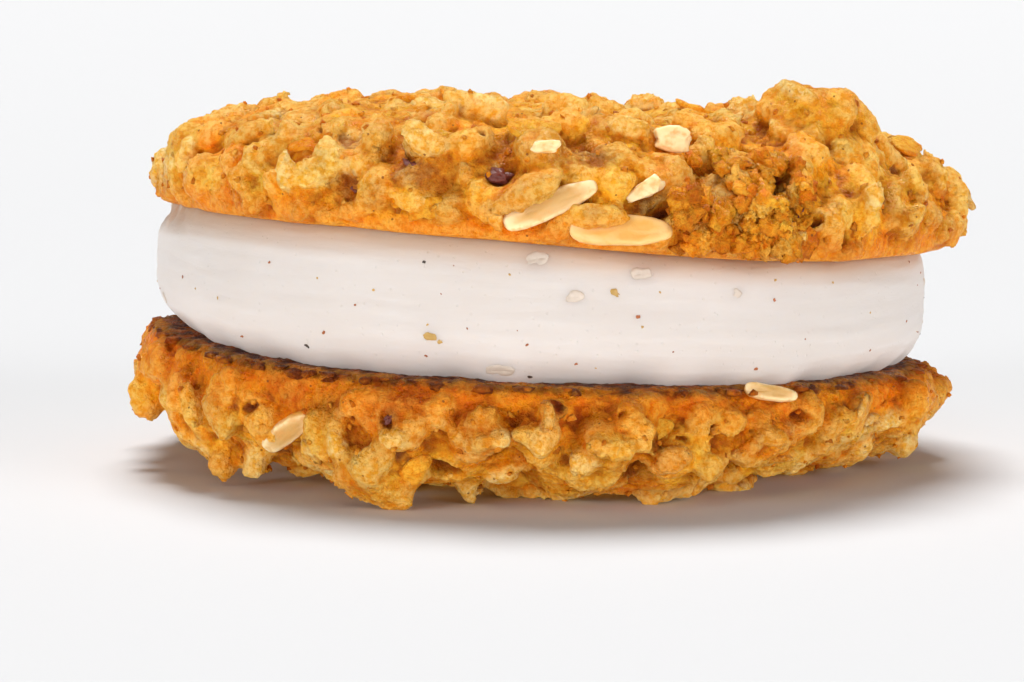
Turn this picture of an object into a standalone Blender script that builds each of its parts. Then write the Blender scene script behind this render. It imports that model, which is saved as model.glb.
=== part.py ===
"""Oatmeal cream pie: two craggy oat cookies, each with its flat baked face against a thick slab of cream.

Metres, +Z up. The pie lies on a table at z = 0, on the craggy side of its lower cookie, with the middle of its
outline at the origin. The front of the pie faces -Y.
"""

import bisect
import math
import random

import bmesh
import bpy
from mathutils import Matrix, Vector, noise

MM = 0.001

# The stack.
LOWER_LEAN = math.radians(2.1)  # the lower cookie's flat face drops this much towards +X
UPPER_LEAN = math.radians(3.2)
CREAM_THICKNESS = 12.4 * MM  # at the middle: the cream is a slight wedge between the two faces
CONTACT_GAP = 0.3 * MM  # left between the cream and each cookie
CREAM_RADIUS = 38.4 * MM
CREAM_LOWER_TUCK = 4.0 * MM  # how far the cream's side curls in where it meets the lower cookie
CREAM_UPPER_TUCK = 1.5 * MM
CREAM_SIDES = 72
CREAM_BANDS = 8

# The dough's relief, the same rule on both cookies.
CLUMP_SIZE = 7.8 * MM  # width of a clump of dough and oats
CLUMP_RISE = 2.6 * MM
SWELL_SIZE = 17 * MM  # slow rise and fall of the whole crust
SWELL_RISE = 1.1 * MM
OUTLINE_WANDER = 0.9 * MM  # how far the round outline strays in and out
DOUGH_SUBDIVISIONS = 4

# Rolled oats and almond slices: flat ovals, half sunk in the dough.
FLAKE_LENGTH = (7.0 * MM, 10.5 * MM)
FLAKE_WIDTH_SHARE = (0.55, 0.85)
FLAKE_THICKNESS = 2.4 * MM
FLAKE_SINK = 0.3 * MM  # how far a flake's middle lies under the crust
FLAKE_MAX_TILT = math.radians(24)
FLAKE_LAST_SHARE = 0.9  # keeps whole flakes above the rim
GOLDEN_ANGLE = math.radians(137.508)

# Each cookie is described in its own frame: flat face at z = 0, craggy dome towards +Z. A turn is measured from
# the front of the pie towards +X. A clump is (turn in degrees, height, width, rise), and a flake is
# (turn in degrees, height, length, width, roll of its long side above the horizontal in degrees).
UPPER = {
    "name": "upper_cookie",
    "radius": 40.6 * MM,
    "height": 12.4 * MM,
    "rim_radius_share": 0.994,
    "rim_height": 0.7 * MM,
    "dome_power": 4.0,
    "centre": (1.1 * MM, 0.0),
    "seed": 11,
    "flakes": 66,
    "clumps": (
        (50, 10.8 * MM, 14 * MM, 3.6 * MM),
        (68, 6.0 * MM, 11 * MM, 1.0 * MM),
        (24, 7.5 * MM, 10 * MM, -1.8 * MM),
        (-24, 10.6 * MM, 12 * MM, 0.6 * MM),
        (10, 11.0 * MM, 11 * MM, 1.2 * MM),
        (-58, 5.0 * MM, 12 * MM, 0.4 * MM),
    ),
    "placed_flakes": (
        (-1.5, 3.9 * MM, 8.4 * MM, 4.4 * MM, 27),
        (8, 2.0 * MM, 8.2 * MM, 4.0 * MM, 2),
        (13, 9.0 * MM, 4.6 * MM, 3.6 * MM, 0),
        (-10, 10.2 * MM, 6.6 * MM, 4.0 * MM, 5),
        (-12, 7.4 * MM, 7.6 * MM, 4.2 * MM, 20),
        (-33, 4.6 * MM, 6.0 * MM, 3.2 * MM, 88),
        (27, 1.9 * MM, 4.6 * MM, 2.8 * MM, 30),
    ),
}
LOWER = {
    "name": "lower_cookie",
    "radius": 40.4 * MM,
    "height": 11.7 * MM,
    "rim_radius_share": 0.978,
    "rim_height": 1.3 * MM,
    "dome_power": 4.8,
    "centre": (-1.1 * MM, 0.0),
    "seed": 23,
    "flakes": 58,
    "clumps": (
        (-18, 8.0 * MM, 11 * MM, 1.7 * MM),
        (8, 8.5 * MM, 8 * MM, 1.3 * MM),
        (20, 9.0 * MM, 9 * MM, 1.4 * MM),
        (-5, 9.5 * MM, 7 * MM, -1.6 * MM),
        (62, 6.5 * MM, 11 * MM, 0.8 * MM),
        (-64, 7.0 * MM, 12 * MM, 0.9 * MM),
    ),
    "placed_flakes": (
        (-31, 2.4 * MM, 5.4 * MM, 3.4 * MM, -50),
        (2.5, 1.5 * MM, 4.2 * MM, 3.0 * MM, 0),
        (-44, 3.0 * MM, 5.0 * MM, 3.0 * MM, 80),
        (-7, 8.8 * MM, 5.6 * MM, 3.6 * MM, 40),
    ),
}
REST_SPOT_RADIUS = 9 * MM  # the lower cookie's dome is smooth this far round the spot it stands on
FLOOR_TRIM = 0.5 * MM  # how much of the lowest crags the table presses flat


def clear_scene():
    for obj in list(bpy.data.objects):
        bpy.data.objects.remove(obj, do_unlink=True)


def baked_material(name, colour, roughness):
    material = bpy.data.materials.new(name)
    material.use_nodes = True
    shader = material.node_tree.nodes["Principled BSDF"]
    shader.inputs["Base Color"].default_value = (*colour, 1.0)
    shader.inputs["Roughness"].default_value = roughness
    shader.inputs["Metallic"].default_value = 0.0
    return material


def add_object(name, mesh, material):
    mesh.materials.clear()
    mesh.materials.append(material)
    obj = bpy.data.objects.new(name, mesh)
    bpy.context.scene.collection.objects.link(obj)
    return obj


def dome_point(cookie, share):
    """(radius, height) on the ideal dome: share runs from 0 at the pole to 1 at the widest part."""
    angle = share * math.pi / 2
    radius = cookie["radius"] * math.sin(angle) ** (2 / cookie["dome_power"])
    rise = cookie["height"] - cookie["rim_height"]
    return radius, cookie["rim_height"] + rise * math.cos(angle) ** 0.72


def dome_normal(cookie, share):
    """(outward, upward) parts of the ideal dome's normal."""
    step = 0.01
    r0, z0 = dome_point(cookie, max(share - step, 0.001))
    r1, z1 = dome_point(cookie, min(share + step, 0.999))
    length = math.hypot(r1 - r0, z1 - z0)
    return (z0 - z1) / length, (r1 - r0) / length


def share_at_height(cookie, height):
    """The dome share at which the ideal dome has come down to this height."""
    low, high = 0.0, 1.0
    for _ in range(30):
        middle = (low + high) / 2
        if dome_point(cookie, middle)[1] > height:
            low = middle
        else:
            high = middle
    return low


def front_angle(cookie, turn_degrees):
    """Angle about the cookie's own +Z of a turn measured from the front of the pie towards +X."""
    facing = math.radians(90 if cookie is LOWER else -90)
    turn = math.radians(turn_degrees)
    return facing - turn if cookie is LOWER else facing + turn


def polar(radius, angle, height):
    return Vector((radius * math.cos(angle), radius * math.sin(angle), height))


def crust_rise(cookie, point):
    """How far the dough stands out of the ideal dome at a point: slow swells, rounded clumps, placed clumps."""
    offset = Vector((cookie["seed"], 0.0, 0.0))
    swell = noise.noise(point / SWELL_SIZE + offset) * SWELL_RISE
    nearest = noise.voronoi(point / CLUMP_SIZE + offset)[0][0]
    rise = swell + CLUMP_RISE * (0.45 - nearest)
    for turn, height, width, clump_rise in cookie["clumps"]:
        share = share_at_height(cookie, height)
        middle = polar(dome_point(cookie, share)[0], front_angle(cookie, turn), height)
        distance = (point - middle).length / (width / 2)
        rise += clump_rise * math.exp(-distance * distance)
    if cookie is LOWER:
        rise *= min(1.0, point.xy.length / REST_SPOT_RADIUS) ** 2
    return rise


def crust_point(cookie, share, angle):
    """(point, normal) on the finished crust."""
    radius, height = dome_point(cookie, share)
    outward, upward = dome_normal(cookie, share)
    turned = Vector((math.cos(angle), math.sin(angle), cookie["seed"]))
    radius += OUTLINE_WANDER * noise.noise(turned * 1.4) * radius / cookie["radius"]
    ideal = polar(radius, angle, height)
    normal = polar(outward, angle, upward)
    rise = crust_rise(cookie, ideal)
    fade = 1 - 0.45 * share**6  # the rim is held by the flat face
    return ideal + normal * rise * fade, normal


def area_table(cookie, steps=400):
    """Dome areas from the pole out to each of these shares, as parts of the whole dome."""
    areas, total = [], 0.0
    for i in range(steps):
        r0, z0 = dome_point(cookie, i / steps)
        r1, z1 = dome_point(cookie, (i + 1) / steps)
        total += (r0 + r1) * math.hypot(r1 - r0, z1 - z0)
        areas.append(total)
    return [area / total for area in areas]


def share_at_area(areas, part):
    """The dome share that has this part of the dome's area inside it."""
    return min(1.0, (bisect.bisect(areas, part) + 0.5) / len(areas))


def make_dough(cookie):
    """The dough: half a ball spread over the dome in equal areas, with its rim drawn down to a flat round face."""
    areas = area_table(cookie)
    bm = bmesh.new()
    bmesh.ops.create_icosphere(bm, subdivisions=DOUGH_SUBDIVISIONS, radius=1.0)
    everything = bm.verts[:] + bm.edges[:] + bm.faces[:]
    bmesh.ops.bisect_plane(bm, geom=everything, plane_co=(0, 0, 0), plane_no=(0, 0, -1), clear_outer=True)
    for vert in bm.verts:
        angle = math.atan2(vert.co.y, vert.co.x)
        vert.co = crust_point(cookie, share_at_area(areas, 1 - vert.co.z), angle)[0]
    rim = [edge for edge in bm.edges if edge.is_boundary]
    drawn = bmesh.ops.extrude_edge_only(bm, edges=rim)["geom"]
    for vert in (item for item in drawn if isinstance(item, bmesh.types.BMVert)):
        angle = math.atan2(vert.co.y, vert.co.x)
        vert.co = polar(vert.co.xy.length * cookie["rim_radius_share"], angle, 0.0)
    bmesh.ops.holes_fill(bm, edges=[edge for edge in bm.edges if edge.is_boundary], sides=0)
    bmesh.ops.triangulate(bm, faces=bm.faces)
    bmesh.ops.recalc_face_normals(bm, faces=bm.faces)
    mesh = bpy.data.meshes.new(cookie["name"])
    bm.to_mesh(mesh)
    bm.free()
    return mesh


def flake_matrix(point, normal, heading, size):
    """Carries a unit ball onto a flat oval that lies on a surface with this normal, its long side along heading."""
    long_side = (heading - normal * heading.dot(normal)).normalized()
    across = normal.cross(long_side)
    axes = Matrix((long_side, across, normal)).transposed().to_4x4()
    return Matrix.Translation(point - normal * FLAKE_SINK) @ axes @ Matrix.Diagonal((*size, 1.0))


def flake_places(cookie):
    """A matrix for each flake: the placed ones, then the rest in a spiral that covers the dome evenly."""
    places = []
    for turn, height, length, width, roll in cookie["placed_flakes"]:
        angle = front_angle(cookie, turn)
        point, normal = crust_point(cookie, share_at_height(cookie, height), angle)
        level = Vector((-math.sin(angle), math.cos(angle), 0.0))
        heading = Matrix.Rotation(math.radians(roll), 3, normal) @ level
        size = (length / 2, width / 2, FLAKE_THICKNESS / 2)
        places.append(flake_matrix(point, normal, heading, size))
    draw = random.Random(cookie["seed"])
    areas = area_table(cookie)
    for i in range(cookie["flakes"]):
        angle = i * GOLDEN_ANGLE
        share = share_at_area(areas, (i + 0.5) / cookie["flakes"])
        point, normal = crust_point(cookie, min(share, FLAKE_LAST_SHARE), angle)
        length = draw.uniform(*FLAKE_LENGTH)
        width = length * draw.uniform(*FLAKE_WIDTH_SHARE)
        level = Vector((-math.sin(angle), math.cos(angle), 0.0))
        heading = Matrix.Rotation(draw.uniform(0, math.pi), 3, normal) @ level
        tipped = Matrix.Rotation(draw.uniform(-FLAKE_MAX_TILT, FLAKE_MAX_TILT), 3, heading) @ normal
        size = (length / 2, width / 2, FLAKE_THICKNESS / 2)
        if cookie is LOWER and point.xy.length < REST_SPOT_RADIUS:
            continue
        places.append(flake_matrix(point, tipped, heading, size))
    return places


def make_flakes(cookie, material):
    """One closed oval for each flake, in a collection of their own."""
    flakes = bpy.data.collections.new(cookie["name"] + "_flakes")
    bpy.context.scene.collection.children.link(flakes)
    for number, place in enumerate(flake_places(cookie)):
        bm = bmesh.new()
        bmesh.ops.create_uvsphere(bm, u_segments=8, v_segments=4, radius=1.0, matrix=place)
        bmesh.ops.triangulate(bm, faces=bm.faces)
        mesh = bpy.data.meshes.new(f"flake_{number}")
        bm.to_mesh(mesh)
        bm.free()
        mesh.materials.append(material)
        flakes.objects.link(bpy.data.objects.new(mesh.name, mesh))
    return flakes


def apply_boolean(obj, operation, cutter=None, pieces=None):
    """Joins or cuts obj, then keeps only the finished mesh and removes what it was joined or cut with."""
    modifier = obj.modifiers.new("Boolean", "BOOLEAN")
    modifier.operation = operation
    modifier.solver = "EXACT"
    if pieces is None:
        modifier.object = cutter
    else:
        modifier.operand_type = "COLLECTION"
        modifier.collection = pieces
    graph = bpy.context.evaluated_depsgraph_get()
    finished = bpy.data.meshes.new_from_object(obj.evaluated_get(graph))
    obj.modifiers.clear()
    finished.name = obj.name
    obj.data = finished
    if pieces is not None:
        for piece in list(pieces.objects):
            bpy.data.objects.remove(piece, do_unlink=True)
        bpy.data.collections.remove(pieces)
    else:
        bpy.data.objects.remove(cutter, do_unlink=True)


def drop_loose_scraps(mesh):
    """Keeps the largest connected body of a mesh."""
    bm = bmesh.new()
    bm.from_mesh(mesh)
    left, bodies = set(bm.verts), []
    while left:
        body, edge = set(), {next(iter(left))}
        while edge:
            body |= edge
            edge = {link.other_vert(vert) for vert in edge for link in vert.link_edges} - body
        bodies.append(body)
        left -= body
    largest = max(bodies, key=len)
    bmesh.ops.delete(bm, geom=[vert for vert in bm.verts if vert not in largest], context="VERTS")
    bm.to_mesh(mesh)
    bm.free()


def cream_point(height_share, angle):
    """A point on the cream's side, in the frame of the lower cookie's leaning face, which is at z = 0."""
    out = 2 * height_share - 1
    tuck = CREAM_LOWER_TUCK * abs(out) ** 3.2 if out < 0 else CREAM_UPPER_TUCK * out**4
    on_circle = polar(1.0, angle, 0.0)
    wave = 0.5 * MM * noise.noise(on_circle * 1.6) + 0.15 * MM * noise.noise(on_circle * 6)
    point = polar(CREAM_RADIUS + wave - tuck, angle, 0.0)
    thickness = CREAM_THICKNESS - point.x * math.tan(UPPER_LEAN - LOWER_LEAN) - 2 * CONTACT_GAP
    point.z = CONTACT_GAP + thickness * height_share
    return point


def make_cream(material):
    """The cream: a thick round slab whose side swells out and curls in above and below."""
    bm = bmesh.new()
    shares = [(1 - math.cos(math.pi * i / CREAM_BANDS)) / 2 for i in range(CREAM_BANDS + 1)]
    rings = []
    for share in shares:
        turns = [2 * math.pi * k / CREAM_SIDES for k in range(CREAM_SIDES)]
        ring = [bm.verts.new(cream_point(share, turn)) for turn in turns]
        rings.append([bm.edges.new((ring[k - 1], ring[k])) for k in range(CREAM_SIDES)])
    for lower, upper in zip(rings, rings[1:]):
        bmesh.ops.bridge_loops(bm, edges=lower + upper)
    bmesh.ops.holes_fill(bm, edges=bm.edges, sides=0)
    bmesh.ops.triangulate(bm, faces=bm.faces)
    bmesh.ops.recalc_face_normals(bm, faces=bm.faces)
    mesh = bpy.data.meshes.new("cream")
    bm.to_mesh(mesh)
    bm.free()
    return add_object("cream", mesh, material)


def make_cookie(cookie, material):
    obj = add_object(cookie["name"], make_dough(cookie), material)
    apply_boolean(obj, "UNION", pieces=make_flakes(cookie, material))
    drop_loose_scraps(obj.data)
    return obj


def floor_cutter(depth):
    """A block whose top is the table, at the height where the lowest crags are pressed flat."""
    bm = bmesh.new()
    size = 4 * UPPER["radius"]
    bmesh.ops.create_cube(bm, size=size, matrix=Matrix.Translation((0, 0, depth - size / 2)))
    mesh = bpy.data.meshes.new("table_cutter")
    bm.to_mesh(mesh)
    bm.free()
    cutter = bpy.data.objects.new("table_cutter", mesh)
    cutter.hide_render = True
    cutter.display_type = "WIRE"
    bpy.context.scene.collection.objects.link(cutter)
    return cutter


def shade(obj):
    obj.data.shade_smooth()
    obj.data.set_sharp_from_angle(angle=math.radians(50))


def main():
    clear_scene()
    golden_crust = baked_material("golden_oat_crust", (0.62, 0.33, 0.085), 0.62)
    toasted_crust = baked_material("toasted_oat_crust", (0.53, 0.22, 0.04), 0.62)
    whipped_cream = baked_material("whipped_cream", (0.88, 0.80, 0.73), 0.45)

    upper = make_cookie(UPPER, golden_crust)
    lower = make_cookie(LOWER, toasted_crust)
    cream = make_cream(whipped_cream)

    turned_over = Matrix.Rotation(math.pi, 4, "X")
    lower_face = Matrix.Translation((0, 0, LOWER["height"]))
    upper_face = Matrix.Translation((0, 0, LOWER["height"] + CREAM_THICKNESS))
    upper_centre = Matrix.Translation((*UPPER["centre"], 0))
    lower_centre = Matrix.Translation((*LOWER["centre"], 0))
    upper.data.transform(upper_face @ Matrix.Rotation(UPPER_LEAN, 4, "Y") @ upper_centre)
    cream.data.transform(lower_face @ Matrix.Rotation(LOWER_LEAN, 4, "Y"))
    lower.data.transform(lower_face @ lower_centre @ turned_over)
    for vert in lower.data.vertices:  # the face leans, and the craggy side under it lies level
        vert.co.z -= vert.co.x * math.tan(LOWER_LEAN) * vert.co.z / LOWER["height"]
    apply_boolean(lower, "DIFFERENCE", cutter=floor_cutter(FLOOR_TRIM))

    objects = (upper, cream, lower)
    corners = [vert.co for obj in objects for vert in obj.data.vertices]
    middle = [(min(c[i] for c in corners) + max(c[i] for c in corners)) / 2 for i in (0, 1)]
    for obj in objects:
        obj.data.transform(Matrix.Translation((-middle[0], -middle[1], -FLOOR_TRIM)))
        shade(obj)


main()
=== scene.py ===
"""Looks of the oatmeal cream pie: two craggy oat cookies round a slab of whipped cream, in soft studio light.

Meshes are modelled in millimetres, +Z up, with the front of the pie facing -Y, and turned to metres when a piece
is added. Each cookie is made in its own frame, flat face at z = 0 and dome towards +Z: a skin of dough with
sunken oats, then loose oats and crumbs seated on that skin.
"""

import math
import random
from collections import namedtuple

import bmesh
import bpy
import numpy as np
from mathutils import Matrix, Vector, noise
from mathutils.bvhtree import BVHTree

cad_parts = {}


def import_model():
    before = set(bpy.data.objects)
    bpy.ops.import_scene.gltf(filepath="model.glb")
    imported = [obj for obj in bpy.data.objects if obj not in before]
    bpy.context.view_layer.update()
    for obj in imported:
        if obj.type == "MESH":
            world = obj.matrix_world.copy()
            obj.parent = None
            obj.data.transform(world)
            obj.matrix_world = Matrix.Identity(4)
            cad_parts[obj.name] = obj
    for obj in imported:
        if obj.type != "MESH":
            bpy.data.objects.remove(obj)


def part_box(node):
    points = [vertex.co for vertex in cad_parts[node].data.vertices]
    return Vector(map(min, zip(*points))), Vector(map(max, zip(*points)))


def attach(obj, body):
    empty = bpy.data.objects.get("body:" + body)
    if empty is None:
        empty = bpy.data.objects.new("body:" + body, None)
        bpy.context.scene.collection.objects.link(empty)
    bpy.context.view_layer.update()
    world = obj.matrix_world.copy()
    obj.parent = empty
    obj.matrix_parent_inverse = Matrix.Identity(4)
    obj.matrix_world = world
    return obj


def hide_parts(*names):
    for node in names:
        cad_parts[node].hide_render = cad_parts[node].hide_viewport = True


MM = 0.001

# The camera and the picture that it makes. Pixels are counted from the top left corner.
PICTURE_WIDTH, PICTURE_HEIGHT = 1024, 682
FOCAL_PIXELS = 2400
SENSOR_WIDTH = 36.0
EYE = Vector((-3.2, -243.0, 35.4))
PITCH_DOWN = math.radians(5.64)

# The stack, as the solids have it.
LOWER_LEAN = math.radians(2.1)  # the lower cookie's face drops this much towards +X
UPPER_LEAN = math.radians(3.2)
FACE_HEIGHT = 11.2  # height of the lower cookie's flat face over the table, at the middle of the stack
CREAM_THICKNESS = 12.4
CREAM_RADIUS = 38.6
CREAM_SHIFT = -0.8  # the cream was spread a little off centre, towards -X
CREAM_LOWER_TUCK = 4.0
CREAM_UPPER_TUCK = 1.3

# How the cookies bend out of their planes: (rise, middle, reach).
DROOP = (-0.9, (24.0, -36.0), 22.0)  # of the upper cookie at its front right
UPTURN = (1.5, (-42.0, -6.0), 19.0)  # of the lower cookie at its left

# The dough's relief, as the solids have it.
CLUMP_SIZE, CLUMP_RISE = 7.8, 2.4
SWELL_SIZE, SWELL_RISE = 17.0, 1.1
OUTLINE_WANDER = 0.9
CORE_SINK = 1.75  # the bare dome lies this far under the crust's outer surface

NOISE_SEED = 4  # the noise vectors hang on it
GOLDEN_ANGLE = math.radians(137.508)
VOXEL = 0.27
ROUGH_VOXEL = 0.5
MOST_TRIANGLES = 190000
# The skin is grown and shrunk by these steps: first batter fills narrow gaps, then sharp edges are worn round.
SKIN_STEPS = (0.3, -0.75, 0.45)
CRUMB_GRAINS = ((2.3, 0.34), (1.1, 0.2))  # (width, depth) of the dough's crumb
FINE_GRAIN = (0.5, 0.2)
FACE_GRAIN = 0.7  # the baked face round the cream is this much as rough as the dome
SHAPES_OF_A_KIND = 9
LOOSE_TOAST = 0.5  # loose crumbs are this much as browned by the tray as the crust
# The creases measured here are painted as shade in the crust's material.
CREASES = ((60, 0.75, 0.6), (14, 0.3, 0.6), (3, 0.12, 0.25))  # (rounds of smoothing, depth, how much it counts)

# Kinds of body: colours in sRGB.
COLOURS = {
    "lump": ("fcbc38", "f6b02c", "ffc748"),
    "oat": ("ffd474", "ffe09a", "ffc84c", "fab83a"),
    "gold": ("ffbf24", "fcaf1e"),
    "pale": ("ffe2a4", "ffda90"),
    "brown": ("c8782a", "b86a1e"),
    "crumb": ("fbb848", "eda030", "ffca6c", "d4862a"),
    "chip": ("fcbe40", "f0a82e", "fdcc66", "e09424", "f8b838"),
    # The face crumbs are dark both for the tray's toasting and as painted shade in the ring under the cream.
    "face_crumb": ("8f4c16", "6a340e", "b0702a", "4a220a"),
}
DOUGH_COLOUR = "fab832"
# Painted shade at the bottom of each pit.
PIT_SHADE_COLOUR = "3e1606"
# The face is painted this dark both for the tray's toasting and as painted shade in the ring that the cream overhangs.
FACE_TOAST_AND_SHADE_COLOUR = "50240a"  # the lower cookie's baked face, in the ring round the cream

# How much of the light shines into each kind of piece: less where it is thin.
DEPTH_OF_GLOW = {"crust": 0.2, "oats": 0.15, "crumbs": 0.0}

Body = namedtuple("Body", "matrix kind shape length seat normal")

# What shows on the front of each cookie, placed by its pixel in the picture. A roll is the angle of the long side
# over the horizontal there, and a lift is the height of the middle over the surface that it is seated on.
# Lumps are part of the skin: (pixel, length, width, thickness, roll, lift).
UPPER_LUMPS = (
    ((812, 116), 9.0, 8.2, 7.0, 10, 0.0),
    ((776, 112), 4.6, 4.0, 3.6, 60, 0.2),
    ((850, 118), 6.4, 5.6, 4.6, -40, 0.0),
    ((716, 136), 6.4, 3.8, 3.4, 50, 0.4),
    ((690, 108), 3.4, 3.0, 2.6, 0, -0.9),
    ((596, 135), 5.4, 4.6, 3.6, -30, 0.2),
    ((593, 100), 5.6, 3.8, 3.0, 0, -1.0),
    ((543, 106), 6.0, 4.0, 3.6, 20, 0.2),
    ((640, 133), 4.0, 3.4, 2.8, 70, 0.0),
    ((541, 158), 6.4, 5.0, 4.6, 20, 0.5),
    ((577, 166), 4.4, 2.6, 2.6, 20, 0.4),
    ((588, 178), 3.6, 3.0, 2.8, 20, 0.7),
    ((529, 188), 7.4, 2.8, 2.8, 29, 1.4),
    ((598, 212), 6.4, 2.6, 2.6, 8, 1.5),
    ((660, 226), 3.6, 2.6, 2.4, 40, 0.5),
    ((490, 198), 3.8, 3.8, 3.0, 60, 0.3),
    ((306, 140), 3.8, 3.4, 3.0, 0, 0.2),
    ((338, 100), 7.2, 4.4, 3.4, -10, -0.6),
    ((440, 99), 5.6, 3.4, 3.0, 0, -0.8),
    ((205, 175), 6.0, 4.6, 3.6, 40, -0.1),
    ((381, 186), 4.4, 3.8, 3.2, 20, 0.2),
    ((437, 154), 6.4, 4.0, 3.4, -20, 0.2),
    ((526, 133), 3.2, 3.0, 2.8, 0, 0.6),
    ((558, 232), 3.0, 2.6, 2.4, 90, 0.1),
    ((667, 168), 6.0, 4.2, 3.6, 10, -0.1),
    ((694, 214), 5.0, 4.0, 3.2, 40, -0.2),
    ((833, 215), 6.0, 3.4, 3.2, 70, 0.1),
    ((860, 190), 7.6, 3.0, 3.2, 84, 0.3),
    ((901, 200), 6.6, 6.0, 3.6, 60, 0.2),
    ((941, 228), 4.6, 3.0, 2.8, 10, 0.0),
)
LOWER_LUMPS = (
    ((226, 398), 5.4, 3.8, 3.4, 100, 0.3),
    ((264, 410), 6.0, 4.0, 3.4, 90, 0.1),
    ((379, 466), 8.8, 5.4, 4.0, 10, 0.3),
    ((330, 428), 7.0, 6.0, 4.0, 40, 0.1),
    ((400, 414), 7.4, 5.0, 3.8, -20, 0.2),
    ((481, 431), 5.4, 4.6, 3.6, 40, 0.2),
    ((544, 440), 5.0, 3.8, 3.0, 60, 0.2),
    ((553, 411), 3.2, 1.7, 2.0, 5, 0.3),
    ((612, 440), 7.6, 5.8, 4.0, 40, 0.2),
    ((600, 476), 7.0, 4.0, 3.4, 10, 0.1),
    ((676, 462), 6.0, 4.4, 3.6, 20, 0.2),
    ((706, 474), 4.6, 3.4, 3.0, 60, 0.2),
    ((780, 466), 6.4, 4.0, 3.4, 15, 0.1),
    ((820, 448), 6.6, 3.2, 3.2, 80, 0.2),
    ((852, 420), 6.0, 3.0, 3.0, 60, 0.2),
    ((905, 415), 6.2, 3.8, 3.0, 85, 0.2),
    ((640, 408), 5.0, 2.6, 2.2, 5, 0.2),
    ((700, 412), 5.6, 2.8, 2.2, -5, 0.2),
    ((156, 378), 5.4, 4.2, 3.0, 95, -0.4),
)
# Flakes lie on the skin: (pixel, kind, length, width, thickness, roll, lift).
UPPER_FLAKES = (
    ((746, 112), "oat", 4.6, 3.0, 1.6, 30, 0.8),
    ((645, 110), "pale", 5.2, 2.4, 1.5, 5, 0.8),
    ((570, 128), "oat", 4.4, 3.0, 1.9, -30, 0.9),
    ((475, 115), "oat", 7.4, 2.5, 2.2, -6, 1.0),
    ((440, 128), "oat", 3.6, 2.4, 1.6, 50, 0.6),
    ((470, 150), "oat", 6.8, 2.6, 2.2, 22, 0.9),
    ((425, 146), "pale", 4.6, 2.4, 1.9, -34, 0.9),
    ((382, 142), "gold", 4.0, 2.6, 1.9, 50, 1.0),
    ((333, 160), "oat", 4.6, 2.6, 1.9, 105, 0.8),
    ((289, 174), "pale", 5.0, 1.5, 2.0, 92, 1.0),
    ((286, 138), "pale", 3.0, 1.4, 1.8, 60, 0.9),
    ((217, 140), "gold", 3.4, 2.4, 1.8, 70, 0.8),
    ((190, 158), "pale", 3.8, 1.8, 1.8, 82, 0.7),
    ((244, 182), "gold", 3.0, 2.0, 1.6, -60, 0.7),
    ((262, 160), "oat", 3.6, 2.4, 1.8, 60, 0.7),
    ((311, 178), "oat", 3.0, 2.2, 1.8, -50, 0.8),
    ((360, 212), "gold", 3.6, 1.8, 1.5, 10, 0.6),
    ((415, 176), "brown", 4.6, 2.6, 1.5, 10, 0.4),
    ((614, 178), "gold", 3.6, 2.8, 2.8, -50, 1.2),
    ((566, 112), "oat", 5.0, 2.6, 1.8, 10, 0.8),
    ((725, 187), "oat", 4.0, 2.6, 1.9, -30, 0.9),
    ((742, 206), "gold", 3.2, 2.0, 1.8, 40, 0.9),
    ((781, 240), "pale", 4.2, 1.9, 1.8, 32, 0.9),
    ((730, 247), "pale", 1.9, 1.0, 1.2, 85, 0.8),
    ((793, 184), "oat", 2.8, 1.4, 2.0, 85, 1.2),
    ((868, 188), "pale", 4.0, 1.8, 1.6, 84, 1.1),
    ((700, 150), "oat", 3.4, 2.2, 1.6, 60, 0.8),
    ((905, 208), "gold", 2.8, 2.0, 1.6, 70, 1.2),
    ((930, 170), "oat", 5.0, 1.8, 1.8, 118, 0.8),
    ((450, 205), "oat", 4.2, 2.6, 1.6, 15, 0.5),
    ((410, 200), "gold", 3.4, 2.2, 1.5, -20, 0.5),
    ((845, 242), "gold", 3.8, 2.0, 1.5, 0, 0.6),
)
LOWER_FLAKES = (
    ((200, 394), "oat", 5.0, 2.0, 1.9, 95, 0.8),
    ((184, 382), "gold", 4.0, 2.2, 1.8, 80, 0.7),
    ((226, 444), "gold", 3.2, 2.8, 2.0, 0, 1.0),
    ((255, 446), "oat", 3.8, 2.6, 1.9, 60, 0.7),
    ((148, 388), "gold", 5.0, 3.0, 1.8, 95, 0.6),
    ((396, 434), "pale", 3.2, 2.0, 1.5, -10, 0.8),
    ((440, 407), "pale", 3.6, 2.2, 1.5, 60, 0.6),
    ((358, 397), "gold", 3.4, 2.4, 1.6, 20, 0.6),
    ((375, 456), "oat", 4.6, 3.0, 1.6, 50, 0.6),
    ((503, 437), "pale", 1.8, 1.6, 1.8, 0, 0.9),
    ((482, 439), "oat", 1.8, 1.6, 1.8, 0, 0.8),
    ((526, 432), "oat", 2.0, 1.9, 1.8, 0, 0.9),
    ((546, 440), "pale", 4.0, 2.2, 1.8, 60, 1.0),
    ((553, 411), "gold", 3.4, 1.6, 2.0, -5, 1.2),
    ((628, 413), "gold", 2.6, 1.5, 1.4, 5, 0.6),
    ((610, 452), "oat", 5.4, 2.4, 1.6, -12, 0.7),
    ((583, 462), "pale", 3.4, 2.4, 1.6, 30, 0.7),
    ((640, 438), "oat", 4.4, 2.8, 1.8, -45, 0.8),
    ((672, 466), "gold", 4.4, 2.6, 2.0, 20, 0.8),
    ((705, 474), "gold", 3.0, 2.4, 2.0, 60, 0.9),
    ((729, 432), "gold", 3.4, 2.8, 1.8, 60, 0.7),
    ((770, 448), "oat", 3.2, 2.2, 1.6, 10, 0.8),
    ((910, 415), "gold", 4.4, 3.0, 2.0, 85, 0.8),
    ((852, 415), "pale", 2.4, 1.0, 1.2, 85, 0.8),
    ((700, 425), "oat", 3.4, 2.2, 1.5, 50, 0.6),
    ((497, 478), "pale", 6.4, 2.0, 1.4, -22, 0.6),
    ((468, 484), "pale", 4.2, 1.6, 1.2, -62, 0.8),
    ((515, 490), "pale", 3.4, 1.5, 1.2, 15, 0.8),
)
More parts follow.
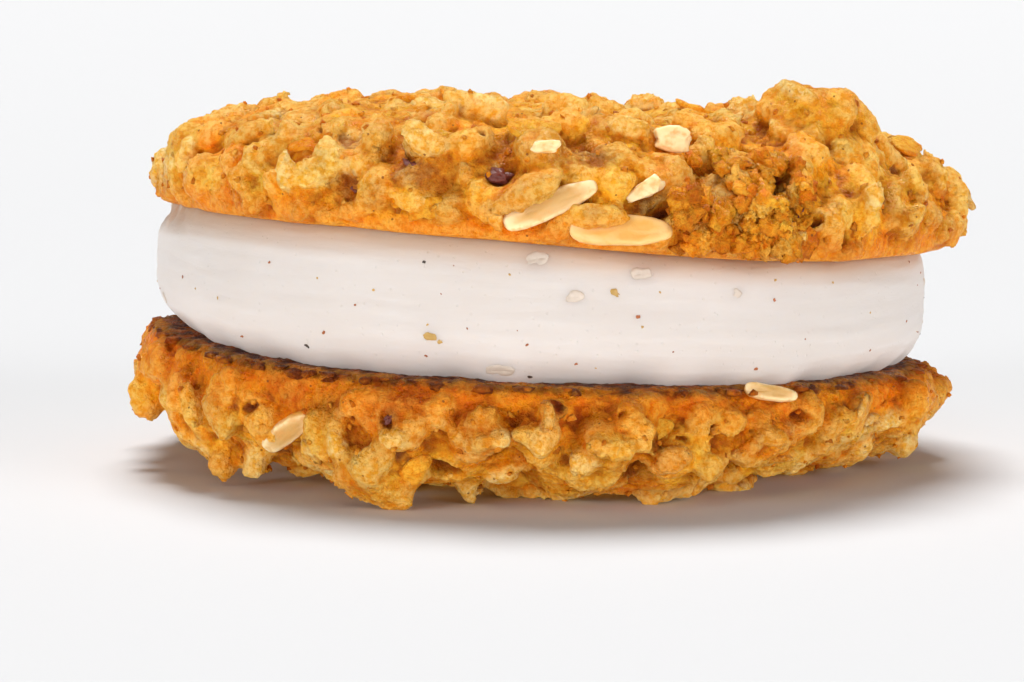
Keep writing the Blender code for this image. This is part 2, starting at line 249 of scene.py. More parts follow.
# Pits in the skin: (pixel, radius, depth).
UPPER_PITS = (
    ((699, 172), 2.0, 3.8),
    ((743, 142), 0.9, 1.2),
    ((783, 174), 1.9, 3.6),
    ((578, 199), 1.2, 2.4),
    ((660, 206), 1.2, 2.2),
    ((500, 174), 1.3, 1.0),
    ((319, 127), 0.45, 0.7),
    ((481, 128), 0.45, 0.8),
    ((408, 150), 0.8, 1.0),
    ((250, 140), 0.7, 0.7),
    ((757, 170), 1.3, 2.6),
    ((735, 160), 0.8, 1.0),
    ((715, 196), 1.2, 2.2),
    ((805, 205), 1.4, 2.6),
    ((846, 232), 0.9, 1.0),
    ((886, 190), 1.1, 1.3),
)
LOWER_PITS = (
    ((247, 398), 0.8, 1.2),
    ((385, 415), 0.6, 1.0),
    ((352, 410), 0.35, 0.5),
    ((713, 440), 0.5, 0.9),
    ((683, 447), 0.5, 0.9),
    ((664, 434), 0.45, 0.7),
    ((623, 419), 0.4, 0.6),
    ((597, 458), 0.35, 0.5),
    ((558, 406), 1.1, 1.2),
    ((752, 442), 0.3, 0.6),
    ((495, 452), 0.8, 0.8),
    ((660, 452), 1.0, 1.2),
    ((445, 470), 1.4, 1.4),
    ((300, 455), 1.2, 1.0),
    ((630, 480), 1.3, 1.2),
    ((732, 478), 1.3, 1.2),
    ((803, 430), 0.9, 1.0),
    ((870, 440), 0.9, 1.0),
)
# Places painted darker, some stained by fruit: (pixel, radius, colour, how strong).
UPPER_STAINS = (
    ((720, 185), 4.6, "96560e", 0.6),
    ((756, 205), 4.6, "96560e", 0.6),
    ((775, 180), 3.6, "8a4c0c", 0.7),
    ((700, 165), 2.4, "7a3e12", 0.7),
    ((499, 172), 1.9, "5e2018", 0.9),
    ((500, 150), 3.2, "a06018", 0.6),
    ((570, 150), 3.4, "a8661c", 0.6),
    ((354, 188), 2.4, "9a4c2c", 0.75),
    ((372, 196), 2.0, "9a4a1c", 0.6),
    ((408, 156), 2.4, "84482c", 0.7),
    ((312, 158), 1.9, "a0622c", 0.6),
    ((734, 167), 1.6, "6a2a1c", 0.8),
    ((801, 205), 1.8, "7a3018", 0.8),
    ((440, 182), 3.4, "b07a34", 0.5),
    ((655, 200), 2.6, "8e4c14", 0.7),
    ((600, 154), 2.6, "80502e", 0.65),
    ((584, 148), 1.8, "8a5a30", 0.6),
    ((592, 206), 1.6, "8e5414", 0.6),
    ((642, 206), 2.4, "6e3410", 0.8),
    ((682, 196), 2.2, "6e3410", 0.7),
    ((742, 178), 2.0, "602a10", 0.7),
    ((790, 176), 1.8, "60260e", 0.7),
)
LOWER_STAINS = (
    ((388, 413), 1.4, "7a3418", 0.7),
    ((556, 408), 2.6, "8a3e10", 0.6),
    ((470, 425), 3.4, "b0602a", 0.45),
    ((640, 480), 3.0, "a05418", 0.5),
    ((285, 380), 3.6, "a85414", 0.5),
    ((330, 395), 3.0, "b46426", 0.4),
)
# Nuts and fruit: (pixel, kind, length, width, thickness, roll, lift, how far it is turned to face the front).
UPPER_NUTS = (
    ((549, 201), "slice", 8.7, 2.2, 1.2, 28, 0.7, 0.75),
    ((620, 225), "coated", 8.8, 2.7, 1.8, 3, 0.45, 0.7),
    ((543, 160), "chunk", 2.8, 1.2, 1.2, 6, 2.2, 0.8),
    ((667, 142), "chunk", 3.9, 2.3, 2.2, 2, 1.1, 0.7),
    ((644, 188), "wedge", 3.8, 2.4, 1.8, 35, 1.0, 0.7),
)
LOWER_NUTS = (
    ((289, 416), "slice", 6.0, 2.0, 1.0, 47, 0.5, 0.3),
    ((767, 406), "slice", 4.9, 1.5, 1.0, -4, 0.6, 0.4),
)
UPPER_FRUIT = (
    ((499, 172), 2.0, 1.2, 1.2, -5, -0.4),
    ((354, 190), 1.6, 0.9, 1.0, 20, -0.4),
    ((734, 167), 1.4, 1.0, 1.2, 30, -0.3),
    ((801, 205), 2.0, 0.8, 1.2, 70, -0.3),
    ((412, 162), 1.4, 0.7, 0.9, -30, -0.35),
)
LOWER_FRUIT = (((388, 413), 1.0, 0.6, 0.8, 50, -0.3),)
# Where the front of the dough is broken open: (left, top, right, bottom) in pixels.
UPPER_BROKEN = (682, 150, 806, 248)
# Specks in the cream's side: (pixel, kind, length, width, roll).
CREAM_SPECKS = (
    ((537, 259), "oat_skin", 2.2, 1.2, 10),
    ((641, 274), "oat_skin", 1.9, 1.0, 0),
    ((575, 297), "oat_skin", 1.6, 1.1, 0),
    ((500, 371), "oat_skin", 2.8, 1.4, 0),
    ((737, 293), "oat_skin", 1.4, 1.1, 60),
    ((615, 293), "tan", 1.1, 0.6, -40),
    ((430, 337), "tan", 1.2, 0.7, -10),
    ((440, 342), "tan", 0.6, 0.4, 0),
    ((638, 317), "red_brown", 0.4, 0.3, 0),
    ((527, 345), "red_brown", 0.35, 0.2, 40),
    ((426, 356), "red_brown", 0.4, 0.25, -40),
    ((576, 364), "red_brown", 0.3, 0.25, 0),
    ((756, 369), "red_brown", 0.45, 0.35, 0),
    ((530, 377), "black", 0.7, 0.35, -30),
    ((307, 346), "black", 0.55, 0.3, -50),
    ((424, 262), "black", 0.35, 0.25, 0),
    ((355, 305), "red_brown", 0.3, 0.2, 0),
)
SPECK_COLOURS = {"oat_skin": "c2b3a4", "tan": "b8924c", "red_brown": "9a5426", "black": "3a2b20"}

UPPER = {
    "name": "upper_cookie",
    "slot": "golden_oat_crust",
    "radius": 40.6,
    "height": 12.4,
    "rim_radius_share": 0.994,
    "rim_height": 0.7,
    "dome_power": 4.0,
    "centre": 1.1,
    "seed": 11,
    "clumps": (
        (50, 10.8, 14, 3.6),
        (68, 6.0, 11, 1.0),
        (24, 7.5, 10, -1.8),
        (-24, 10.6, 12, 0.6),
        (10, 11.0, 11, 1.2),
        (-58, 5.0, 12, 0.4),
        (-82, 10.5, 26, -1.7),
        (42, 6.0, 14, 1.4),
    ),
    "lumps": UPPER_LUMPS,
    "flakes": UPPER_FLAKES,
    "nuts": UPPER_NUTS,
    "pits": UPPER_PITS,
    "stains": UPPER_STAINS,
    "broken": UPPER_BROKEN,
}
LOWER = {
    "name": "lower_cookie",
    "slot": "toasted_oat_crust",
    "radius": 40.4,
    "height": 11.7,
    "rim_radius_share": 0.978,
    "rim_height": 1.3,
    "dome_power": 4.8,
    "centre": -1.1,
    "seed": 23,
    "clumps": (
        (-18, 8.0, 11, 1.7),
        (8, 8.5, 8, 1.3),
        (20, 9.0, 9, 1.4),
        (-5, 9.5, 7, -1.6),
        (62, 6.5, 11, 0.8),
        (-64, 7.0, 12, 0.9),
        (-88, 9.5, 22, -0.5),
        (-45, 9.5, 13, 1.0),
    ),
    "lumps": LOWER_LUMPS,
    "flakes": LOWER_FLAKES,
    "nuts": LOWER_NUTS,
    "pits": LOWER_PITS,
    "stains": LOWER_STAINS,
    "broken": None,
}

# Scattered all over: (kind, count, lengths, width shares, thicknesses, most tilt in degrees, lifts).
SUNKEN = (
    ("lump", 80, (6, 10), (0.65, 1.0), (3.0, 4.6), 12, (-1.2, -0.1)),
    ("oat", 430, (4.5, 8.5), (0.46, 0.72), (1.8, 2.8), 14, (-0.6, 0.35)),
    ("gold", 60, (3, 4.5), (0.5, 0.75), (1.4, 2.0), 18, (-0.2, 0.5)),
    ("crumb", 260, (1.4, 2.6), (0.6, 1.0), (1.0, 1.8), 40, (0.0, 0.7)),
)
PRESSED_IN = (
    ("oat", 170, (4.0, 7.0), (0.46, 0.68), (1.1, 1.8), 20, (-0.2, 0.4)),
    ("gold", 40, (2.8, 4.2), (0.5, 0.75), (1.0, 1.5), 22, (-0.2, 0.4)),
    ("pale", 50, (3.0, 5.5), (0.4, 0.6), (1.0, 1.5), 22, (-0.1, 0.5)),
)
LOOSE_FLAKES = (
    ("oat", 40, (3.0, 5.0), (0.5, 0.7), (0.7, 1.0), 16, (-0.3, 0.0)),
    ("pale", 30, (1.8, 3.6), (0.4, 0.6), (0.6, 0.9), 24, (-0.2, 0.1)),
)
# Where the dough is broken open: (kind, count, lengths, lifts).
FUSED_CHIPS = ("chip", 30, (2.0, 3.6), (0.0, 0.8))
PIT_CLEARANCE = 5.5  # in pixels, for a crumb without size: the deepest pits stay open
LOOSE_CHIPS = ("chip", 125, (0.9, 3.0), (-0.15, 0.35))
LOOSE_CRUMBS = (("crumb", 800, (0.4, 0.9), (0.6, 1.0), (0.4, 0.8), 60, (-0.15, 0.06)),)


def main():
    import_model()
    noise.seed_set(NOISE_SEED)
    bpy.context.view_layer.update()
    low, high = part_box("cream")
    middle = (low + high) / 2 / MM

    aim_camera()
    for cookie in (UPPER, LOWER):
        cookie["stack_middle"] = middle
        make_cookie(cookie)
    make_nuts("almond_pieces", "almond_flesh", ((UPPER, UPPER_NUTS), (LOWER, LOWER_NUTS)))
    make_nuts("fruit_bits", "stewed_fruit", ((UPPER, UPPER_FRUIT), (LOWER, LOWER_FRUIT)))
    cream = make_cream(middle)
    make_specks(cream, middle)
    set_stage()


# ---------------------------------------------------------------------------------------------- the camera


def aim_camera():
    camera = bpy.data.cameras.new("camera")
    camera.sensor_width = SENSOR_WIDTH
    camera.lens = SENSOR_WIDTH * FOCAL_PIXELS / PICTURE_WIDTH
    camera.clip_start = 0.01
    eye = bpy.data.objects.new("camera", camera)
    eye.matrix_world = camera_matrix(MM)
    bpy.context.scene.collection.objects.link(eye)
    bpy.context.scene.camera = eye


def camera_matrix(scale):
    turned = Matrix.Rotation(math.pi / 2 - PITCH_DOWN, 4, "X")
    return Matrix.Translation(EYE * scale) @ turned


def sight_direction(pixel):
    """The direction of the line of sight through a pixel."""
    across = (pixel[0] - PICTURE_WIDTH / 2) / FOCAL_PIXELS
    up = (PICTURE_HEIGHT / 2 - pixel[1]) / FOCAL_PIXELS
    return (camera_matrix(1.0).to_3x3() @ Vector((across, up, -1.0))).normalized()


# ------------------------------------------------------------------------------- a cookie's frame and its dome


def bend(bump, x, y):
    """How far a cookie is bent up out of its plane."""
    rise, middle, reach = bump
    return rise * np.exp(-((np.hypot(x - middle[0], y - middle[1]) / reach) ** 2))


def place(cookie, points):
    """Carries points of the cookie's own frame, flat face at z = 0 and dome towards +Z, to their place in the pie."""
    points = np.atleast_2d(points).astype(float)
    middle = cookie["stack_middle"]
    x, y, z = points.T
    x = x + cookie["centre"]
    if cookie is UPPER:
        lean = UPPER_LEAN
        x, z = x * math.cos(lean) + z * math.sin(lean), z * math.cos(lean) - x * math.sin(lean)
        z = z + CREAM_THICKNESS + bend(DROOP, x, y)
    else:
        y = -y
        z = cookie["height"] - z
        z = z - x * math.tan(LOWER_LEAN) * z / cookie["height"] - cookie["height"] + bend(UPTURN, x, y)
    return np.stack([x + middle.x, y + middle.y, z + FACE_HEIGHT], axis=1)


def unplace(cookie, points):
    """The way back from the pie to the cookie's own frame."""
    points = np.atleast_2d(points).astype(float)
    middle = cookie["stack_middle"]
    x, y, z = (points - [middle.x, middle.y, FACE_HEIGHT]).T
    if cookie is UPPER:
        lean = UPPER_LEAN
        z = z - CREAM_THICKNESS - bend(DROOP, x, y)
        x, z = x * math.cos(lean) - z * math.sin(lean), z * math.cos(lean) + x * math.sin(lean)
    else:
        z = z + cookie["height"] - bend(UPTURN, x, y)
        y = -y
        z = z / (1 - x * math.tan(LOWER_LEAN) / cookie["height"])
        z = cookie["height"] - z
    return np.stack([x - cookie["centre"], y, z], axis=1)


def dome_point(cookie, share):
    """(radius, height) on the ideal dome: share runs from 0 at the pole to 1 at the widest part."""
    angle = share * math.pi / 2
    radius = cookie["radius"] * math.sin(angle) ** (2 / cookie["dome_power"])
    rise = cookie["height"] - cookie["rim_height"]
    return radius, cookie["rim_height"] + rise * math.cos(angle) ** 0.72


def dome_normal(cookie, share):
    """(outward, upward) parts of the ideal dome's normal."""
    step = 0.01
    r0, z0 = dome_point(cookie, max(share - step, 0.001))
    r1, z1 = dome_point(cookie, min(share + step, 0.999))
    length = math.hypot(r1 - r0, z1 - z0)
    return (z0 - z1) / length, (r1 - r0) / length


def share_at_height(cookie, height):
    """The dome share at which the ideal dome has come down to this height."""
    shares = np.linspace(0, 1, 200)
    heights = [dome_point(cookie, share)[1] for share in shares]
    return float(np.interp(-height, [-h for h in heights], shares))


def polar(radius, angle, height):
    return Vector((radius * math.cos(angle), radius * math.sin(angle), height))


def clump_middles(cookie):
    """The placed clumps of the solids: (middle, width, rise)."""
    found = []
    for turn, height, width, rise in cookie["clumps"]:
        side = -1 if cookie is UPPER else 1
        angle = side * (math.pi / 2 - math.radians(turn))
        radius = dome_point(cookie, share_at_height(cookie, height))[0]
        found.append((polar(radius, angle, height), width, rise))
    return found


def core_point(cookie, share, angle):
    """A point on the bare dome, which follows the solids' relief from CORE_SINK below it."""
    radius, height = dome_point(cookie, share)
    outward, upward = dome_normal(cookie, share)
    turned = Vector((math.cos(angle), math.sin(angle), cookie["seed"]))
    radius += OUTLINE_WANDER * noise.noise(turned * 1.4) * radius / cookie["radius"]
    ideal = polar(radius, angle, height)
    offset = Vector((cookie["seed"], 0.0, 0.0))
    rise = noise.noise(ideal / SWELL_SIZE + offset) * SWELL_RISE
    rise += CLUMP_RISE * (0.45 - noise.voronoi(ideal / CLUMP_SIZE + offset)[0][0])
    for middle, width, clump_rise in cookie["clump_middles"]:
        rise += clump_rise * math.exp(-(((ideal - middle).length / (width / 2)) ** 2))
    rise *= 1 - 0.45 * share**6
    return ideal + polar(outward, angle, upward) * (rise - CORE_SINK)


def area_shares(cookie, count=400):
    """The dome shares that cut the dome into rings of equal area."""
    edges = [dome_point(cookie, i / count) for i in range(count + 1)]
    total, areas = 0.0, [0.0]
    for (r0, z0), (r1, z1) in zip(edges, edges[1:]):
        total += (r0 + r1) * math.hypot(r1 - r0, z1 - z0)
        areas.append(total)
    return np.interp(np.linspace(0, 1, count + 1), np.array(areas) / total, np.linspace(0, 1, count + 1))


def dough_core(cookie, shares):
    """The dough's bare dome, drawn down to a flat face."""
    bm = bmesh.new()
    bmesh.ops.create_icosphere(bm, subdivisions=5, radius=1.0)
    everything = bm.verts[:] + bm.edges[:] + bm.faces[:]
    bmesh.ops.bisect_plane(bm, geom=everything, plane_co=(0, 0, 0), plane_no=(0, 0, -1), clear_outer=True)
    for vert in bm.verts:
        angle = math.atan2(vert.co.y, vert.co.x)
        share = float(np.interp(1 - vert.co.z, np.linspace(0, 1, len(shares)), shares))
        vert.co = core_point(cookie, share, angle)
    rim = [edge for edge in bm.edges if edge.is_boundary]
    drawn = bmesh.ops.extrude_edge_only(bm, edges=rim)["geom"]
    for vert in (item for item in drawn if isinstance(item, bmesh.types.BMVert)):
        vert.co.xy *= cookie["rim_radius_share"]
        vert.co.z = 0.0
    bmesh.ops.holes_fill(bm, edges=[edge for edge in bm.edges if edge.is_boundary], sides=0)
    bmesh.ops.triangulate(bm, faces=bm.faces)
    bmesh.ops.recalc_face_normals(bm, faces=bm.faces)
    return bm


# ------------------------------------------------------------------------------------------- unit shapes


def arrays_of(bm):
    """(points, triangles) of a bmesh."""
    bmesh.ops.triangulate(bm, faces=bm.faces)
    bm.verts.index_update()
    points = np.array([vert.co[:] for vert in bm.verts])
    return points, np.array([[vert.index for vert in face.verts] for face in bm.faces])


def lump_shape(number, lumpiness=0.55, subdivisions=2):
    """A ball of dough."""
    bm = bmesh.new()
    bmesh.ops.create_icosphere(bm, subdivisions=subdivisions, radius=1.0)
    offset = Vector((7.3 * number, 3.1 * number, 1.7))
    for vert in bm.verts:
        vert.co *= 1 + lumpiness * noise.noise(vert.co * 1.5 + offset)
    return bm


def crumb_shape(number):
    return lump_shape(number, lumpiness=0.9, subdivisions=1)


def chip_shape(number):
    """A coarse crumb broken out of the dough."""
    bm = lump_shape(number, lumpiness=0.9, subdivisions=3)
    offset = Vector((4.7 * number, 8.2, 1.3))
    for vert in bm.verts:
        vert.co += Vector(noise.noise_vector(vert.co * 2.2 + offset)) * 0.35
        vert.co *= 1 + 0.2 * noise.noise(vert.co * 5 + offset)
    return bm


def flake_shape(number):
    """A rolled oat: a thin oval with a groove down its middle, curled along its length, some broken at one end."""
    bm = bmesh.new()
    bmesh.ops.create_uvsphere(bm, u_segments=18, v_segments=10, radius=1.0)
    offset = Vector((5.1 * number, 2.3 * number, 9.0))
    curl = (-1 + 2 * (number % 2)) * (0.2 + 0.9 * number / SHAPES_OF_A_KIND)
    broken_at = (0.7, 9.0, 9.0)[number % 3]
    groove_depth = (0.0, 0.3, 0.15)[number % 3]
    for vert in bm.verts:
        x, y, z = vert.co
        groove = groove_depth * math.exp(-((y / 0.2) ** 2)) * (1 - x * x)
        z = math.copysign(abs(z) ** 0.8, z) * (1 - groove)
        flat = Vector((x, y, 0))
        spread = 1 + 0.5 * noise.noise(flat * 1.3 + offset) + 0.15 * noise.noise(flat * 4 + offset)
        x, y = x * (0.6 + 0.4 * spread), y * spread
        x = min(x, broken_at + 0.35 * noise.noise(Vector((y * 2.5, 0, 0)) + offset))
        bumps = 0.4 * noise.noise(flat * 1.8 + offset) + 0.2 * noise.noise(Vector((x, y, z)) * 4 + offset)
        vert.co = (x, y, z + curl * x * x + bumps)
    return bm


def slice_shape(number):
    """A sliced almond: a thin flat oval, narrower at one end, with a straight rim."""
    bm = bmesh.new()
    bmesh.ops.create_uvsphere(bm, u_segments=32, v_segments=12, radius=1.0)
    offset = Vector((1.7 * number, 0.4, 3.3))
    for vert in bm.verts:
        x, y, z = vert.co
        across = math.hypot(x, y) ** 0.5 / max((abs(x) ** 3 + abs(y) ** 3) ** (1 / 3), 1e-6)
        x, y = x * across, y * across
        z = math.copysign(abs(z) ** 0.5, z)
        flat = Vector((x, y, 0))
        y *= 1 - 0.12 * x + 0.1 * noise.noise(flat * 1.6 + offset) + 0.06 * noise.noise(flat * 5 + offset)
        z += 0.3 * noise.noise(flat * 1.3 + offset) + 0.12 * noise.noise(flat * 4 + offset)
        vert.co = (x, y, z + 0.3 * x * x)
    return bm


def chunk_shape(number):
    """A chopped almond: a block with its edges worn round and its broken faces rough."""
    bm = bmesh.new()
    bmesh.ops.create_icosphere(bm, subdivisions=4, radius=1.0)
    offset = Vector((2.9 * number, 7.7, 0.6))
    for vert in bm.verts:
        blocky = max(abs(side) for side in vert.co)
        vert.co *= 0.86 / blocky**0.5
        vert.co += Vector(noise.noise_vector(vert.co * 0.9 + offset)) * 0.4
        vert.co *= 1 + 0.10 * noise.noise(vert.co * 3 + offset) + 0.04 * noise.noise(vert.co * 9 + offset)
    return bm


def wedge_shape(number):
    """A chopped almond drawn out to a point at its left."""
    bm = chunk_shape(number)
    for vert in bm.verts:
        narrow = 0.35 + 0.65 * (vert.co.x + 1) / 2
        vert.co.y *= narrow
        vert.co.z *= narrow
    return bm


SHAPES = {
    "lump": lump_shape,
    "oat": flake_shape,
    "gold": flake_shape,
    "pale": flake_shape,
    "brown": flake_shape,
    "coated": slice_shape,
    "face_crumb": crumb_shape,
    "crumb": crumb_shape,
    "chip": chip_shape,
    "slice": slice_shape,
    "chunk": chunk_shape,
    "wedge": wedge_shape,
    "fruit": chip_shape,
}


def kind_shapes(kind):
    """A few unit shapes of a kind of body, as arrays."""
    shapes = []
    for number in range(SHAPES_OF_A_KIND):
        bm = SHAPES[kind](number)
        shapes.append(arrays_of(bm))
        bm.free()
    return shapes


# ------------------------------------------------------------------------------------ bodies and their seats


def body_matrix(point, normal, heading, size):
    """Carries a unit shape onto a surface with this normal, its long side along heading."""
    long_side = (heading - normal * heading.dot(normal)).normalized()
    across = normal.cross(long_side)
    axes = Matrix((long_side, across, normal)).transposed().to_4x4()
    half = [side / 2 for side in size]
    return Matrix.Translation(point) @ axes @ Matrix.Diagonal((*half, 1.0))


def seat_at_pixel(cookie, tree, pixel):
    """(point, normal, direction to the eye) where the line of sight meets a surface, or passes nearest to it."""
    start = Vector(unplace(cookie, EYE)[0])
    far = Vector(unplace(cookie, EYE + sight_direction(pixel) * 100)[0])
    direction = (far - start).normalized()
    point, normal, _, _ = tree.ray_cast(start, direction)
    if point is None:
        ways = [start + direction * way for way in range(190, 290)]
        point = min(ways, key=lambda way: tree.find_nearest(way)[3])
        normal = tree.find_nearest(point)[1]
    return point, normal, -direction


def rolled_heading(cookie, roll):
    turned = math.radians(roll)
    up = math.sin(turned)
    return Vector((math.cos(turned), 0, up if cookie is UPPER else -up))


def placed_body(cookie, trees, pixel, kind, size, roll, lift, facing, shape):
    """A body seated where the line of sight through its pixel meets the first tree, turned by the second's normal."""
    seat_tree, shape_tree = trees
    seat, _, to_eye = seat_at_pixel(cookie, seat_tree, pixel)
    normal = shape_tree.find_nearest(seat)[1]
    turned = (normal * (1 - facing) + to_eye * facing).normalized()
    matrix = body_matrix(seat + normal * lift, turned, rolled_heading(cookie, roll), size)
    return Body(matrix, kind, shape, size[0], seat, normal)


def scattered_bodies(cookie, trees, shares, draw, groups, taken):
    """Bodies all over the dome, evenly spread and left out where a placed body lies."""
    seat_tree, shape_tree = trees
    bodies = []
    for kind, count, lengths, width_shares, thicknesses, tilt, lifts in groups:
        start = draw.uniform(0, 2 * math.pi)
        for i in range(count):
            turn = start + i * GOLDEN_ANGLE
            share = float(np.interp((i + draw.random()) / count, np.linspace(0, 1, len(shares)), shares))
            near = core_point(cookie, min(share, 0.965), turn)
            near, normal, _, _ = shape_tree.find_nearest(near)
            seat = seat_tree.ray_cast(near + normal * 9, -normal)[0] or near
            length = draw.uniform(*lengths)
            size = (length, length * draw.uniform(*width_shares), draw.uniform(*thicknesses))
            heading = Matrix.Rotation(draw.uniform(0, 2 * math.pi), 3, normal) @ normal.orthogonal()
            tipped = Matrix.Rotation(math.radians(draw.uniform(-tilt, tilt)), 3, heading) @ normal
            middle = seat + normal * draw.uniform(*lifts)
            shape = draw.randrange(SHAPES_OF_A_KIND)
            if any((middle - other.matrix.translation).length < 0.42 * (other.length + length) for other in taken):
                continue
            bodies.append(Body(body_matrix(middle, tipped, heading, size), kind, shape, length, seat, normal))
    return bodies


def body_points(bodies, keep_off_tray=True):
    """(points, triangles) of each body. Nothing reaches through the flat face, which lay on the baking tray."""
    shapes = {kind: kind_shapes(kind) for kind in {body.kind for body in bodies}}
    parts = []
    for body in bodies:
        points, triangles = shapes[body.kind][body.shape]
        matrix = np.array(body.matrix)
        points = points @ matrix[:3, :3].T + matrix[:3, 3]
        if keep_off_tray:
            points[:, 2] += max(0.0, 0.05 - points[:, 2].min())
        parts.append((points, triangles))
    return parts


# ------------------------------------------------------------------------------------------------ meshes


def joined_mesh(name, parts):
    """One mesh from many (points, triangles) arrays."""
    starts = np.cumsum([0] + [len(points) for points, _ in parts])
    points = np.concatenate([points for points, _ in parts])
    triangles = np.concatenate([triangles + start for (_, triangles), start in zip(parts, starts)])
    mesh = bpy.data.meshes.new(name)
    mesh.vertices.add(len(points))
    mesh.vertices.foreach_set("co", points.astype(np.float32).ravel())
    mesh.loops.add(triangles.size)
    mesh.loops.foreach_set("vertex_index", triangles.astype(np.int32).ravel())
    mesh.polygons.add(len(triangles))
    mesh.polygons.foreach_set("loop_start", np.arange(0, triangles.size, 3, dtype=np.int32))
    mesh.update(calc_edges=True)
    return mesh


def add_piece(mesh, material):
    """A finished piece, with its mesh in metres and in place."""
    obj = bpy.data.objects.new(mesh.name, mesh)
    bpy.context.scene.collection.objects.link(obj)
    mesh.shade_smooth()
    mesh.materials.append(material)
    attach(obj, "root")
    return obj


def points_of(mesh):
    points = np.empty(len(mesh.vertices) * 3, np.float32)
    mesh.vertices.foreach_get("co", points)
    return points.reshape(-1, 3).astype(float)


def normals_of(mesh):
    normals = np.empty(len(mesh.vertices) * 3, np.float32)
    mesh.vertex_normals.foreach_get("vector", normals)
    return normals.reshape(-1, 3).astype(float)


def edges_of(mesh):
    edges = np.empty(len(mesh.edges) * 2, np.int32)
    mesh.edges.foreach_get("vertices", edges)
    return edges.reshape(-1, 2)


def set_points(mesh, points):
    mesh.vertices.foreach_set("co", points.astype(np.float32).ravel())
    mesh.update()


def tree_of(mesh):
    bm = bmesh.new()
    bm.from_mesh(mesh)
    tree = BVHTree.FromBMesh(bm)
    bm.free()
    return tree


def apply_modifiers(obj):
    graph = bpy.context.evaluated_depsgraph_get()
    mesh = bpy.data.meshes.new_from_object(obj.evaluated_get(graph))
    obj.modifiers.clear()
    obj.data = mesh


def smooth_step(low, high, value):
    t = np.clip((value - low) / (high - low), 0, 1)
    return t * t * (3 - 2 * t)


def settled(values, edges, rounds):
    """The values after each has moved towards the mean of its neighbours, over and over."""
    count = np.bincount(edges.ravel(), minlength=len(values))[:, None]
    values = values.copy()
    for _ in range(rounds):
        total = np.empty_like(values)
        for axis in range(values.shape[1]):
            total[:, axis] = np.bincount(edges[:, 0], values[edges[:, 1], axis], len(values))
            total[:, axis] += np.bincount(edges[:, 1], values[edges[:, 0], axis], len(values))
        values = 0.4 * values + 0.6 * total / count
    return values


# ------------------------------------------------------------------------------------------- the cookies


def make_cookie(cookie):
    """A cookie's three pieces: the skin of dough, the oats that lie loose on it, and its crumbs."""
    draw = random.Random(cookie["seed"])
    cookie["clump_middles"] = clump_middles(cookie)
    shares = area_shares(cookie)
    core = dough_core(cookie, shares)
    core_tree = BVHTree.FromBMesh(core)
    lumps = [
        placed_body(cookie, (core_tree, core_tree), pixel, "lump", size, roll, lift, 0.2, draw.randrange(SHAPES_OF_A_KIND))
        for pixel, *size, roll, lift in cookie["lumps"]
    ]
    sunken = scattered_bodies(cookie, (core_tree, core_tree), shares, draw, SUNKEN, lumps) + lumps
    rough = grow_skin(cookie, core, sunken, ROUGH_VOXEL)
    on_rough = (tree_of(rough.data), core_tree)
    bpy.data.objects.remove(rough)
    pressed = [
        placed_body(cookie, on_rough, pixel, kind, size, roll, lift, 0.6, draw.randrange(SHAPES_OF_A_KIND))
        for pixel, kind, *size, roll, lift in cookie["flakes"]
    ]
    nuts = [
        placed_body(cookie, on_rough, pixel, kind, size, roll, lift, facing, 0)
        for pixel, kind, *size, roll, lift, facing in cookie["nuts"]
    ]
    pressed += broken_crumbs(cookie, on_rough, draw, FUSED_CHIPS)
    pressed += scattered_bodies(cookie, on_rough, shares, draw, PRESSED_IN, pressed + nuts)
    skin = grow_skin(cookie, core, sunken + pressed, VOXEL)
    core.free()
    roughen(cookie, skin.data)
    cookie["trees"] = (tree_of(skin.data), core_tree)
    press_pits(cookie, skin.data, draw)
    thin_out(skin)
    name = cookie["name"]
    colour_skin(cookie, skin.data, sunken + pressed)
    crust = finish_cookie_piece(cookie, skin.data, name + "_crust")
    bpy.data.objects.remove(skin)
    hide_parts(name)

    loose = scattered_bodies(cookie, cookie["trees"], shares, draw, LOOSE_FLAKES, nuts)
    finish_cookie_piece(cookie, coloured_bodies(cookie, loose, name + "_oats", draw), name + "_oats")
    crumbs = scattered_bodies(cookie, cookie["trees"], shares, draw, LOOSE_CRUMBS, nuts)
    crumbs += broken_crumbs(cookie, cookie["trees"], draw, LOOSE_CHIPS) + face_crumbs(cookie, draw, nuts)
    finish_cookie_piece(cookie, coloured_bodies(cookie, crumbs, name + "_crumbs", draw), name + "_crumbs")


def grow_skin(cookie, core, bodies, voxel):
    """The dough: core and bodies grown into one skin, in the cookie's own frame."""
    name = cookie["name"] + "_skin"
    skin = bpy.data.objects.new(name, joined_mesh(name, [arrays_of(core)] + body_points(bodies)))
    bpy.context.scene.collection.objects.link(skin)
    for shift in SKIN_STEPS:
        grown = skin.modifiers.new("grown_together", "REMESH")
        grown.mode = "VOXEL"
        grown.voxel_size = voxel
        spread = skin.modifiers.new("batter", "DISPLACE")
        spread.mid_level = 0.0
        spread.strength = shift
    apply_modifiers(skin)
    return skin


def roughen(cookie, mesh):
    """Gives the skin its fine crumb, and leaves the face that lay on the tray smooth."""
    points, normals = points_of(mesh), normals_of(mesh)
    points = settled(points, edges_of(mesh), 2)
    radius = np.hypot(points[:, 0], points[:, 1])
    on_face = (normals[:, 2] < -0.6) & (points[:, 2] < 0.4)
    amount = np.where(on_face, FACE_GRAIN * smooth_step(31.5, 34.0, radius), 1.0)
    if cookie is UPPER:
        amount = np.where(on_face, 0.0, amount)
    rise = np.zeros(len(points))
    for index in np.nonzero(amount)[0]:
        rise[index] = crumb_rise(Vector(points[index]))
    set_points(mesh, points + normals * (rise * amount)[:, None])


